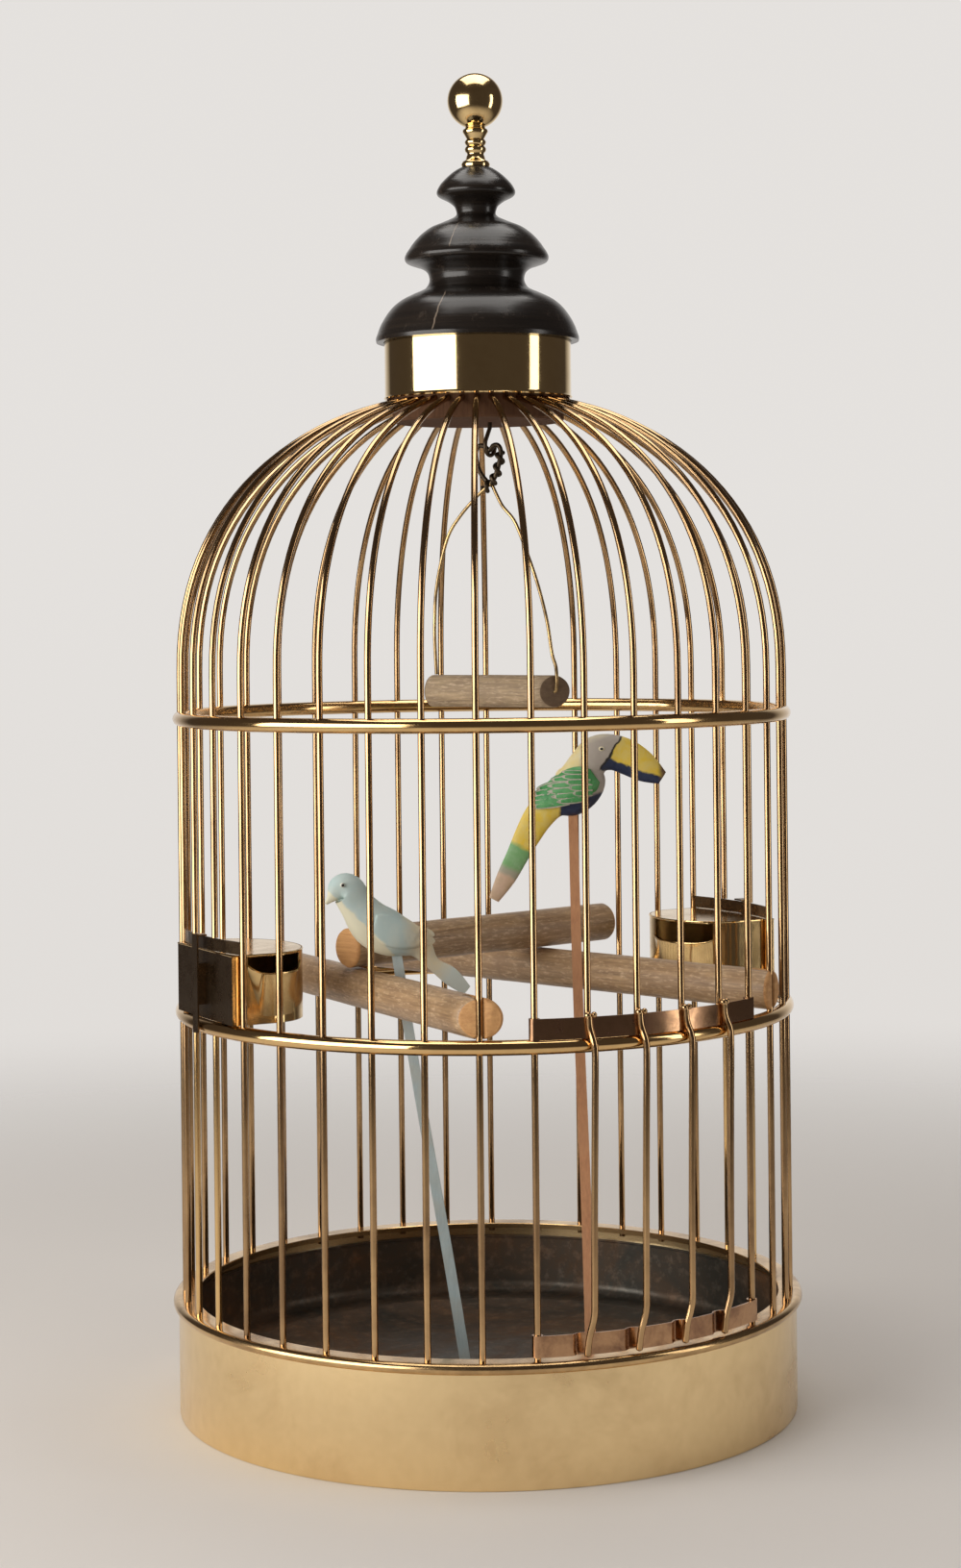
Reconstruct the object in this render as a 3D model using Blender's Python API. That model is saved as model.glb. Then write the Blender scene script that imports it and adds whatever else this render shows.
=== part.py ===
"""A round brass birdcage with a lifting door, two pull-out feeders, perches, a swing and two birds.

Metres, +Z up. The origin is at the centre of the underside, and the front bar stands on -Y.
Turns are measured from the front bar, positive towards +X.
"""

import math

import bmesh
import bpy
from mathutils import Matrix, Vector

# Gaps and overruns
SEAT_GAP = 0.0003
CUT_OVERRUN = 0.002
WELD_DEPTH = 0.0005
MERGE_DISTANCE = 0.000003
SHARP_ANGLE = math.radians(40.0)

# Bars and hoops
BAR_COUNT = 38
BAR_DIAMETER = 0.0048
BAR_CIRCLE_RADIUS = 0.2245
WIRE_SIDES = 6
BAR_HOLE_SIDES = 6
HOOP_DIAMETER = 0.011
HOOP_FLAT_ANGLE = math.radians(53.0)
HOOP_SIDE_ANGLE = math.radians(18.0)
MIDDLE_HOOP_HEIGHT = 0.296
UPPER_HOOP_HEIGHT = 0.512

# Dome
DOME_START_HEIGHT = 0.545
DOME_RISE = 0.2057
DOME_FULLNESS = 2.2
DOME_STEPS = 7

# Base
DRUM_HEIGHT = 0.0815
DRUM_WALL = 0.0015
DRUM_FOOT_WIDTH = 0.012
DRUM_BAR_ROOM = 0.0012
RIM_LEDGE_THICKNESS = 0.004
RIM_LEDGE_WIDTH = 0.0085
RIM_BEAD_RADIUS = 0.0038
RIM_BEAD_STEPS = 5
BAR_FOOT_LENGTH = 0.0035
PAN_WALL = 0.0012
PAN_FLOOR_HEIGHT = 0.028
PAN_TOP_MARGIN = 0.004
PAN_CORNER_RADIUS = 0.008
PAN_CORNER_STEPS = 3
RING_SEGMENTS = BAR_COUNT

# Crown
CROWN_DISC_RADIUS = 0.064
CROWN_DISC_THICKNESS = 0.0185
CROWN_DISC_BELOW_BARS = 0.0145
BAR_SOCKET_DEPTH = 0.007
COLLAR_RADIUS = 0.0697
COLLAR_WALL = 0.0013
COLLAR_HEIGHT = 0.0485
COLLAR_ABOVE_BARS = 0.0028
CROWN_SEGMENTS = 38

# Turned finial: heights and radii as shares of its height and of its brim radius
FINIAL_HEIGHT = 0.1247
FINIAL_BRIM_RADIUS = 0.0757
FINIAL_LIP_DROP = 0.006
FINIAL_PROFILE_SHARES = (
    (0.000, 1.000),
    (0.120, 0.935),
    (0.205, 0.825),
    (0.270, 0.640),
    (0.310, 0.505),
    (0.350, 0.470),
    (0.425, 0.545),
    (0.455, 0.690),
    (0.480, 0.710),
    (0.600, 0.575),
    (0.655, 0.450),
    (0.695, 0.285),
    (0.725, 0.193),
    (0.780, 0.222),
    (0.830, 0.360),
    (0.862, 0.385),
    (0.910, 0.340),
    (0.965, 0.240),
    (1.000, 0.140),
)

# Brass knob: heights as shares of its stem, radii as shares of its ball radius
KNOB_BALL_RADIUS = 0.0207
KNOB_STEM_HEIGHT = 0.0300
KNOB_SEGMENTS = 16
KNOB_BALL_STEPS = 9
KNOB_STEM_SHARES = (
    (0.00, 0.50),
    (0.12, 0.46),
    (0.26, 0.34),
    (0.36, 0.30),
    (0.44, 0.36),
    (0.52, 0.30),
    (0.62, 0.36),
    (0.70, 0.30),
    (0.82, 0.42),
    (0.92, 0.42),
    (0.97, 0.36),
)

# Lifting door
DOOR_FIRST_GUIDE = 1
DOOR_LAST_GUIDE = 6
DOOR_STRAP_HEIGHT = 0.0145
DOOR_STRAP_THICKNESS = 0.0012
DOOR_REST_GAP = 0.0025
DOOR_WIRE_STAND_OFF = 0.0006
DOOR_WIRE_BEND = 0.015
DOOR_STRAP_STEPS = 10
DOOR_SLEEVE_SIDES = 12

# Feeders: the opening spans three gaps, so two bars are cut short above each feeder
FEEDER_FIRST_GUIDES = {"left": 30, "right": 11}
FEEDER_GAPS = 3
FEEDER_HEIGHT = 0.050
FEEDER_DEPTH = 0.070
FEEDER_WALL = 0.0012
FEEDER_SIDE_ROOM = 0.0016
FEEDER_STRAIGHT_SHARE = 0.45
FEEDER_CURVE_STEPS = 12
FEEDER_SILL_SHARE = 0.70
FEEDER_SILL_RISE_SHARE = 0.12
FEEDER_SILL_STEPS = 8
FEEDER_WINDOW_WIDTH_SHARE = 0.80
FEEDER_LID_EDGE = 0.0022
FEEDER_LIP_WIDTH = 0.0026
FEEDER_LIP_RISE = 0.0012
FEEDER_LIP_THICKNESS = 0.0010
FEEDER_STOP_WIDTH = 0.0095
FEEDER_STOP_THICKNESS = 0.0012
FEEDER_STOP_DROP = 0.009
FEEDER_BLOCK_SHARE = 0.6
FEEDER_TAB_LENGTH = 0.006
LINTEL_HEIGHT = 0.009
LINTEL_THICKNESS = 0.0014
LINTEL_STEPS = 6

# Perches: each end of the fixed ones is slotted over a bar
PERCH_DIAMETER = 0.029
PERCH_SIDES = 16
PERCH_CHAMFER = 0.003
PERCH_END_ROOM = 0.0033
PERCH_SLOT_DEPTH = 0.018
PERCH_BARS = {"perch_front": (0, 25), "perch_right": (7, 22)}
CROSS_PERCH_ON_FRONT_SHARE = 0.48
CROSS_PERCH_ON_RIGHT_SHARE = 0.52
CROSS_PERCH_FRONT_OVERHANG = 0.012
CROSS_PERCH_RIGHT_OVERHANG = 0.066

# Swing
SWING_TURN = math.radians(30.0)
SWING_PIVOT_DROP = 0.021
SWING_HOOK_OFFSET = 0.0085
SWING_HANG_SHIFT = 0.0065
SWING_RING_RADIUS = 0.008
SWING_WIRE_DIAMETER = 0.0028
SWING_HOOK_DIAMETER = 0.0032
SWING_HOOK_RADIUS = 0.007
SWING_HOOK_STEPS = 6
SWING_RING_STEPS = 14
SWING_TWIST_LENGTH = 0.016
SWING_TWIST_DIAMETER = 0.0044
SWING_TWIST_SIDES = 8
SWING_DROP = 0.1775
SWING_DOWEL_DIAMETER = 0.0245
SWING_DOWEL_LENGTH = 0.108
SWING_LEG_INSET = 0.003
SWING_LEG_STAND_OFF = 0.004
SWING_END_SLANT = 0.0135
SWING_LEG_SHARES = ((0.10, 0.04), (0.34, 0.17), (0.62, 0.34), (0.86, 0.55), (0.97, 0.78))

# Painted birds on sticks: along, up and half height are shares of the length
BIRD_SIDES = 10
STICK_WIDTH = 0.008
STICK_THICKNESS = 0.0032
STICK_TOP_SHARE = 0.75
STICK_LEAN_ROOM = 0.0008
STICK_WELD_SHARE = 0.04
BLUE_BIRD_LENGTH = 0.1030
BLUE_BIRD_WIDTH_SHARE = 0.78
BLUE_BIRD_TURN = math.radians(16.0)
BLUE_BIRD_RISE = 0.034
BLUE_BIRD_LEAN_SHARE = 0.40
BLUE_BIRD_FOOT_SHARES = (-0.066, -0.178)
BLUE_BIRD_SHARES = (
    (-0.450, 0.336, 0.010),
    (-0.414, 0.378, 0.034),
    (-0.368, 0.432, 0.086),
    (-0.308, 0.428, 0.112),
    (-0.242, 0.336, 0.116),
    (-0.134, 0.215, 0.150),
    (-0.010, 0.152, 0.148),
    (0.107, 0.112, 0.105),
    (0.205, 0.045, 0.058),
    (0.295, -0.040, 0.048),
    (0.416, -0.120, 0.060),
    (0.537, -0.215, 0.036),
)
TOUCAN_LENGTH = 0.1275
TOUCAN_WIDTH_SHARE = 0.72
TOUCAN_TURN = 0.0
TOUCAN_RISE = 0.120
TOUCAN_LEAN_SHARE = 0.40
TOUCAN_FOOT_SHARES = (0.337, -0.312)
TOUCAN_SHARES = (
    (0.500, 0.207, 0.034),
    (0.414, 0.256, 0.078),
    (0.322, 0.306, 0.100),
    (0.236, 0.337, 0.104),
    (0.144, 0.339, 0.114),
    (0.072, 0.278, 0.122),
    (0.024, 0.198, 0.136),
    (-0.030, 0.118, 0.132),
    (-0.112, 0.054, 0.098),
    (-0.190, -0.034, 0.084),
    (-0.253, -0.144, 0.073),
    (-0.310, -0.259, 0.062),
    (-0.374, -0.385, 0.054),
    (-0.443, -0.511, 0.030),
)

# Worked out from the sizes above
BAR_RADIUS = BAR_DIAMETER / 2
BAR_PITCH = math.tau / BAR_COUNT
BAR_HOLE_RADIUS = (BAR_RADIUS + SEAT_GAP) / math.cos(math.pi / BAR_HOLE_SIDES)
HOOP_RADIUS = HOOP_DIAMETER / 2
HOOP_FLAT = HOOP_RADIUS * math.sin(HOOP_FLAT_ANGLE)
HOOP_CENTRE_RADIUS = BAR_CIRCLE_RADIUS / math.cos(math.pi / RING_SEGMENTS)
HOOP_OUTER_RADIUS = HOOP_CENTRE_RADIUS + HOOP_RADIUS * math.cos(HOOP_SIDE_ANGLE)
MIDDLE_HOOP_TOP = MIDDLE_HOOP_HEIGHT + HOOP_FLAT
MIDDLE_HOOP_BOTTOM = MIDDLE_HOOP_HEIGHT - HOOP_FLAT
DRUM_INNER_RADIUS = BAR_CIRCLE_RADIUS + BAR_RADIUS + DRUM_BAR_ROOM
DRUM_OUTER_RADIUS = DRUM_INNER_RADIUS + DRUM_WALL
RIM_TOP = DRUM_HEIGHT + SEAT_GAP + RIM_LEDGE_THICKNESS
RIM_INNER_RADIUS = BAR_CIRCLE_RADIUS - RIM_LEDGE_WIDTH
BAR_BOTTOM = RIM_TOP - RIM_LEDGE_THICKNESS - BAR_FOOT_LENGTH
PAN_OUTER_RADIUS = DRUM_INNER_RADIUS - SEAT_GAP
PAN_TOP = BAR_BOTTOM - PAN_TOP_MARGIN
PERCH_RADIUS = PERCH_DIAMETER / 2
PERCH_HEIGHT = MIDDLE_HOOP_TOP + SEAT_GAP + PERCH_RADIUS

BRASS = (0.78, 0.55, 0.25)
DARK_BRASS = (0.45, 0.31, 0.15)
TIN = (0.16, 0.13, 0.10)
EBONISED_WOOD = (0.020, 0.016, 0.014)
PERCH_WOOD = (0.36, 0.24, 0.14)
DRIFTWOOD = (0.42, 0.32, 0.22)
IRON_WIRE = (0.06, 0.05, 0.045)
PALE_BLUE = (0.50, 0.66, 0.68)
LEAF_GREEN = (0.14, 0.42, 0.16)

# Roughness and metallic values
POLISHED = 0.18
WAXED = 0.32
WORN = 0.45
PAINTED = 0.6
BARE = 0.7
METAL = 1.0
NOT_METAL = 0.0


def clear_scene():
    for thing in list(bpy.data.objects):
        bpy.data.objects.remove(thing, do_unlink=True)


def material(name, colour, roughness, metallic):
    made = bpy.data.materials.new(name)
    made.use_nodes = True
    shader = made.node_tree.nodes["Principled BSDF"]
    shader.inputs["Base Color"].default_value = (*colour, 1.0)
    shader.inputs["Roughness"].default_value = roughness
    shader.inputs["Metallic"].default_value = metallic
    return made


def brass(name):
    return material(name, BRASS, POLISHED, METAL)


def place(name, data, look=None):
    thing = bpy.data.objects.new(name, data)
    bpy.context.scene.collection.objects.link(thing)
    if look:
        data.materials.append(look)
    return thing


def mesh_object(name, bm, look=None):
    bmesh.ops.recalc_face_normals(bm, faces=bm.faces[:])
    data = bpy.data.meshes.new(name)
    bm.to_mesh(data)
    bm.free()
    data.shade_smooth()
    data.set_sharp_from_angle(angle=SHARP_ANGLE)
    return place(name, data, look)


def as_cutter(thing):
    thing.hide_render = True
    thing.display_type = "WIRE"
    return thing


def boolean(target, tool, operation):
    step = target.modifiers.new(f"{operation.title()} {tool.name}", "BOOLEAN")
    step.operation = operation
    step.solver = "EXACT"
    step.object = as_cutter(tool)


def turn_direction(turn):
    """The level unit vector that points outwards at a turn."""
    return Vector((math.sin(turn), -math.cos(turn), 0.0))


def around(turn, radius, height):
    return turn_direction(turn) * radius + Vector((0.0, 0.0, height))


def bar_turn(index):
    return index * BAR_PITCH


def turned(name, profile, segments, look=None, first_turn=0.0):
    """Turns a profile of (radius, height), a closed loop or one that starts and ends on the axis."""
    bm = bmesh.new()
    points = [bm.verts.new(around(first_turn, radius, height)) for radius, height in profile]
    on_axis = profile[0][0] == 0.0
    edges = [bm.edges.new(pair) for pair in zip(points, points[1:])]
    if not on_axis:
        edges.append(bm.edges.new((points[-1], points[0])))
    bmesh.ops.spin(
        bm,
        geom=points + edges,
        cent=(0.0, 0.0, 0.0),
        axis=(0.0, 0.0, 1.0),
        angle=math.tau,
        steps=segments,
        use_merge=True,
    )
    bmesh.ops.remove_doubles(bm, verts=bm.verts[:], dist=MERGE_DISTANCE)
    return mesh_object(name, bm, look)


def prism(name, outline, low, high, look=None):
    """An upright prism over an outline of (x, y)."""
    bm = bmesh.new()
    bottom = [bm.verts.new((x, y, low)) for x, y in outline]
    face = bm.faces.new(bottom)
    raised = bmesh.ops.extrude_face_region(bm, geom=[face])
    top = [item for item in raised["geom"] if isinstance(item, bmesh.types.BMVert)]
    bmesh.ops.translate(bm, verts=top, vec=(0.0, 0.0, high - low))
    return mesh_object(name, bm, look)


def add_box(bm, low, high):
    """Adds a box between two corners."""
    low, high = Vector(low), Vector(high)
    size = Matrix.Diagonal((*(high - low), 1.0))
    bmesh.ops.create_cube(bm, size=1.0, matrix=Matrix.Translation((low + high) / 2) @ size)


def box(name, low, high):
    bm = bmesh.new()
    add_box(bm, low, high)
    return mesh_object(name, bm)


def add_rod(bm, start, end, radius, sides, spin=0.0):
    """Adds a capped straight rod between two points, spun about its own axis."""
    run = end - start
    matrix = Matrix.Translation((start + end) / 2) @ run.to_track_quat("Z", "Y").to_matrix().to_4x4()
    matrix @= Matrix.Rotation(spin, 4, "Z")
    bmesh.ops.create_cone(
        bm,
        cap_ends=True,
        segments=sides,
        radius1=radius,
        radius2=radius,
        depth=run.length,
        matrix=matrix,
    )


def rod(name, start, end, radius, sides, look=None):
    bm = bmesh.new()
    add_rod(bm, start, end, radius, sides)
    return mesh_object(name, bm, look)


def skin(bm, rings):
    """Joins rings of points into one body, closed at both ends."""
    loops = [[bm.verts.new(point) for point in ring] for ring in rings]
    for loop, following in zip(loops, loops[1:]):
        for side in range(len(loop)):
            other = (side + 1) % len(loop)
            bm.faces.new((loop[side], loop[other], following[other], following[side]))
    bm.faces.new(loops[0])
    bm.faces.new(loops[-1])


def wire(name, points, normal, radius, look=None):
    """A round wire along points in one plane, mitred at its bends. The normal is the plane's."""
    angles = [math.tau * (side + 0.5) / WIRE_SIDES for side in range(WIRE_SIDES)]
    runs = [(after - before).normalized() for before, after in zip(points, points[1:])]
    rings = []
    for point, before, after in zip(points, [runs[0], *runs], [*runs, runs[-1]]):
        middle = (before + after).normalized()
        mitre = radius / middle.dot(before)
        across = middle.cross(normal) * mitre
        upright = normal * radius
        rings.append([point + across * math.cos(turn) + upright * math.sin(turn) for turn in angles])
    bm = bmesh.new()
    skin(bm, rings)
    return mesh_object(name, bm, look)


def band(name, inner, outer, low, high, first_turn, last_turn, steps, look=None):
    """A curved strap that follows the cage between two turns."""
    turns = [first_turn + (last_turn - first_turn) * step / steps for step in range(steps + 1)]
    outline = [around(turn, outer, 0.0).xy for turn in turns]
    outline += [around(turn, inner, 0.0).xy for turn in reversed(turns)]
    bm = bmesh.new()
    rings = [[bm.verts.new((*point, height)) for point in outline] for height in (low, high)]
    count = len(outline)
    for index in range(count):
        following = (index + 1) % count
        bm.faces.new((rings[0][index], rings[0][following], rings[1][following], rings[1][index]))
    for ring in rings:
        for step in range(steps):
            bm.faces.new((ring[step], ring[step + 1], ring[count - 2 - step], ring[count - 1 - step]))
    return mesh_object(name, bm, look)


def dome_height(radius):
    """The height of the bars' centre line where the dome has this radius."""
    reach = 1.0 - (radius / BAR_CIRCLE_RADIUS) ** DOME_FULLNESS
    return DOME_START_HEIGHT + DOME_RISE * reach ** (1.0 / DOME_FULLNESS)


def dome_points():
    """Points of (radius, height) from the top of the straight bar to the crown disc."""
    last = math.acos((CROWN_DISC_RADIUS / BAR_CIRCLE_RADIUS) ** (DOME_FULLNESS / 2))
    points = []
    for step in range(DOME_STEPS + 1):
        angle = last * step / DOME_STEPS
        radius = BAR_CIRCLE_RADIUS * math.cos(angle) ** (2 / DOME_FULLNESS)
        points.append((radius, dome_height(radius)))
    return points


def socket_run():
    """The bar's straight end in the crown disc, as (radius, height) at the disc's side and at the end."""
    (before_radius, before_height), (radius, height) = dome_points()[-2:]
    slope = (height - before_height) / (before_radius - radius)
    end = radius - BAR_SOCKET_DEPTH
    return (radius, height), (end, height + slope * BAR_SOCKET_DEPTH)


CROWN_BAR_HEIGHT = dome_points()[-1][1]
CROWN_DISC_BOTTOM = CROWN_BAR_HEIGHT - CROWN_DISC_BELOW_BARS
CROWN_DISC_TOP = CROWN_DISC_BOTTOM + CROWN_DISC_THICKNESS
COLLAR_BOTTOM = CROWN_BAR_HEIGHT + COLLAR_ABOVE_BARS
COLLAR_TOP = COLLAR_BOTTOM + COLLAR_HEIGHT


def bar_path(bottom):
    """The centre line of one bar in the XZ plane, from its foot to its end in the crown disc."""
    path = [(BAR_CIRCLE_RADIUS, bottom), *dome_points(), socket_run()[1]]
    return [Vector((radius, 0.0, height)) for radius, height in path]


def bar_holes(name, low, high, indices):
    """Upright cutters for the bars that pass through a ring."""
    bm = bmesh.new()
    for index in indices:
        start = around(bar_turn(index), BAR_CIRCLE_RADIUS, low)
        end = around(bar_turn(index), BAR_CIRCLE_RADIUS, high)
        add_rod(bm, start, end, BAR_HOLE_RADIUS, BAR_HOLE_SIDES, bar_turn(index))
    return mesh_object(name, bm)


def feeder_guides(side):
    first = FEEDER_FIRST_GUIDES[side]
    return first, first + FEEDER_GAPS


def feeder_bars():
    """The bars that are cut away in front of the feeders."""
    found = set()
    for side in FEEDER_FIRST_GUIDES:
        first, last = feeder_guides(side)
        found.update(range(first + 1, last))
    return found


def door_bars():
    """The bars that end on the middle hoop, above the doorway."""
    return set(range(DOOR_FIRST_GUIDE + 1, DOOR_LAST_GUIDE))


def lintel_top():
    return MIDDLE_HOOP_TOP + SEAT_GAP + FEEDER_HEIGHT + SEAT_GAP + LINTEL_HEIGHT


def make_bars():
    look = brass("bar_brass")
    bottoms = {
        "full": BAR_BOTTOM,
        "door": MIDDLE_HOOP_BOTTOM + SEAT_GAP,
        "feeder": lintel_top() + SEAT_GAP,
    }
    for index in range(BAR_COUNT):
        kind = "full"
        if index in door_bars():
            kind = "door"
        if index in feeder_bars():
            kind = "feeder"
        bar = wire(f"bar_{index:02d}", bar_path(bottoms[kind]), Vector((0.0, 1.0, 0.0)), BAR_RADIUS, look)
        bar.rotation_euler.z = bar_turn(index) - math.pi / 2


def hoop(name, height):
    """A drilled round hoop with flats above and below, where the bars pass through."""
    quarter = (HOOP_FLAT_ANGLE, HOOP_SIDE_ANGLE, -HOOP_SIDE_ANGLE, -HOOP_FLAT_ANGLE)
    section = []
    for angle in (*quarter, *(angle + math.pi for angle in quarter)):
        out = HOOP_CENTRE_RADIUS + HOOP_RADIUS * math.cos(angle)
        section.append((out, height + HOOP_RADIUS * math.sin(angle)))
    return turned(name, section, RING_SEGMENTS, brass(f"{name}_brass"), BAR_PITCH / 2)


def make_hoops():
    upper = hoop("upper_hoop", UPPER_HOOP_HEIGHT)
    reach = HOOP_RADIUS + CUT_OVERRUN
    low, high = UPPER_HOOP_HEIGHT - reach, UPPER_HOOP_HEIGHT + reach
    boolean(upper, bar_holes("upper_hoop_holes", low, high, range(BAR_COUNT)), "DIFFERENCE")
    middle = hoop("middle_hoop", MIDDLE_HOOP_HEIGHT)
    passing = [index for index in range(BAR_COUNT) if index not in feeder_bars()]
    low, high = MIDDLE_HOOP_HEIGHT - reach, MIDDLE_HOOP_HEIGHT + reach
    boolean(middle, bar_holes("middle_hoop_holes", low, high, passing), "DIFFERENCE")
    bm = bmesh.new()
    for index in sorted(feeder_bars()):
        start = around(bar_turn(index), BAR_CIRCLE_RADIUS, BAR_BOTTOM)
        end = around(bar_turn(index), BAR_CIRCLE_RADIUS, MIDDLE_HOOP_HEIGHT)
        add_rod(bm, start, end, BAR_RADIUS, WIRE_SIDES)
    boolean(middle, mesh_object("stub_bars", bm), "UNION")


def make_drum():
    inner, outer = DRUM_INNER_RADIUS, DRUM_OUTER_RADIUS
    foot = inner - DRUM_FOOT_WIDTH
    profile = [
        (foot, 0.0),
        (outer, 0.0),
        (outer, DRUM_HEIGHT),
        (inner, DRUM_HEIGHT),
        (inner, DRUM_WALL),
        (foot, DRUM_WALL),
    ]
    turned("base_drum", profile, RING_SEGMENTS, brass("drum_brass"))


def make_rim():
    """A beaded cap on the drum, with a ledge that the bars' feet pass through."""
    ledge_bottom = RIM_TOP - RIM_LEDGE_THICKNESS
    bead_centre = DRUM_OUTER_RADIUS + SEAT_GAP
    bead_height = RIM_TOP - RIM_BEAD_RADIUS
    profile = [(RIM_INNER_RADIUS, ledge_bottom), (RIM_INNER_RADIUS, RIM_TOP)]
    for step in range(RIM_BEAD_STEPS + 1):
        angle = math.pi / 2 - math.pi * step / RIM_BEAD_STEPS
        out = bead_centre + RIM_BEAD_RADIUS * math.cos(angle)
        profile.append((out, bead_height + RIM_BEAD_RADIUS * math.sin(angle)))
    profile.append((bead_centre, ledge_bottom))
    rim = turned("base_rim", profile, RING_SEGMENTS, brass("rim_brass"))
    low, high = ledge_bottom - CUT_OVERRUN, RIM_TOP + CUT_OVERRUN
    boolean(rim, bar_holes("rim_holes", low, high, range(BAR_COUNT)), "DIFFERENCE")


def make_pan():
    """A tin liner that stands on the drum's foot, with a raised floor and a rounded corner."""
    outer, wall = PAN_OUTER_RADIUS, PAN_WALL
    inner = outer - wall
    low = DRUM_WALL + SEAT_GAP
    corner = PAN_CORNER_RADIUS
    profile = [(0.0, PAN_FLOOR_HEIGHT)]
    for step in range(PAN_CORNER_STEPS + 1):
        angle = math.pi / 2 * step / PAN_CORNER_STEPS
        out = inner - corner + corner * math.sin(angle)
        profile.append((out, PAN_FLOOR_HEIGHT + corner - corner * math.cos(angle)))
    profile += [
        (inner, PAN_TOP),
        (outer, PAN_TOP),
        (outer, low),
        (inner, low),
        (inner, PAN_FLOOR_HEIGHT - wall),
        (0.0, PAN_FLOOR_HEIGHT - wall),
    ]
    turned("base_pan", profile, RING_SEGMENTS, material("tin", TIN, WORN, METAL))


def make_crown():
    boss = COLLAR_RADIUS - COLLAR_WALL - SEAT_GAP
    profile = [
        (0.0, CROWN_DISC_BOTTOM),
        (CROWN_DISC_RADIUS, CROWN_DISC_BOTTOM),
        (CROWN_DISC_RADIUS, CROWN_DISC_TOP),
        (boss, CROWN_DISC_TOP),
        (boss, COLLAR_TOP),
        (0.0, COLLAR_TOP),
    ]
    look = material("disc_wood", DRIFTWOOD, BARE, NOT_METAL)
    disc = turned("crown_disc", profile, CROWN_SEGMENTS, look, BAR_PITCH / 2)
    (radius, height), (end_radius, end_height) = socket_run()
    slope = (end_height - height) / (radius - end_radius)
    bm = bmesh.new()
    for index in range(BAR_COUNT):
        mouth = around(bar_turn(index), radius + CUT_OVERRUN, height - slope * CUT_OVERRUN)
        deepest = around(bar_turn(index), end_radius - SEAT_GAP, end_height + slope * SEAT_GAP)
        add_rod(bm, mouth, deepest, BAR_HOLE_RADIUS, BAR_HOLE_SIDES)
    boolean(disc, mesh_object("disc_sockets", bm), "DIFFERENCE")
    inner = COLLAR_RADIUS - COLLAR_WALL
    sheet = [
        (inner, COLLAR_BOTTOM),
        (COLLAR_RADIUS, COLLAR_BOTTOM),
        (COLLAR_RADIUS, COLLAR_TOP),
        (inner, COLLAR_TOP),
    ]
    turned("collar_band", sheet, CROWN_SEGMENTS, brass("collar_brass"), BAR_PITCH / 2)


def finial_bottom():
    return COLLAR_TOP + SEAT_GAP


def make_finial():
    """A turned wooden cap: three brims and two waists, with a lip that hangs over the collar."""
    bottom = finial_bottom()
    lip = bottom - FINIAL_LIP_DROP
    height = bottom + FINIAL_HEIGHT - lip
    recess = COLLAR_RADIUS + SEAT_GAP
    profile = [(0.0, bottom), (recess, bottom), (recess, lip)]
    for up, out in FINIAL_PROFILE_SHARES:
        profile.append((FINIAL_BRIM_RADIUS * out, lip + height * up))
    profile.append((0.0, lip + height))
    look = material("ebonised", EBONISED_WOOD, WAXED, NOT_METAL)
    turned("finial_turning", profile, CROWN_SEGMENTS, look, BAR_PITCH / 2)


def make_knob():
    """A ball on a beaded stem."""
    bottom = finial_bottom() + FINIAL_HEIGHT + SEAT_GAP
    profile = [(0.0, bottom)]
    for up, out in KNOB_STEM_SHARES:
        profile.append((KNOB_BALL_RADIUS * out, bottom + KNOB_STEM_HEIGHT * up))
    neck = math.asin(KNOB_STEM_SHARES[-1][1])
    centre = bottom + KNOB_STEM_HEIGHT + KNOB_BALL_RADIUS * math.cos(neck)
    for step in range(KNOB_BALL_STEPS):
        angle = neck + (math.pi - neck) * step / KNOB_BALL_STEPS
        profile.append((KNOB_BALL_RADIUS * math.sin(angle), centre - KNOB_BALL_RADIUS * math.cos(angle)))
    profile.append((0.0, centre + KNOB_BALL_RADIUS))
    turned("finial_knob", profile, KNOB_SEGMENTS, brass("knob_brass"))


def door_wire_path(low, high):
    """Points of (radius, height) down a door wire: on both straps, and clear of the hoop between them."""
    on_strap = door_band_radius() + DOOR_STRAP_THICKNESS + BAR_RADIUS - WELD_DEPTH
    clear = max(on_strap, HOOP_OUTER_RADIUS + DOOR_WIRE_STAND_OFF + BAR_RADIUS)
    return [
        (on_strap, high + BAR_RADIUS),
        (on_strap, high - DOOR_STRAP_HEIGHT / 2),
        (clear, MIDDLE_HOOP_TOP),
        (clear, low + DOOR_STRAP_HEIGHT + DOOR_WIRE_BEND),
        (on_strap, low + DOOR_STRAP_HEIGHT / 2),
        (on_strap, low),
    ]


def door_band_radius():
    return BAR_CIRCLE_RADIUS + BAR_RADIUS + SEAT_GAP


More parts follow.
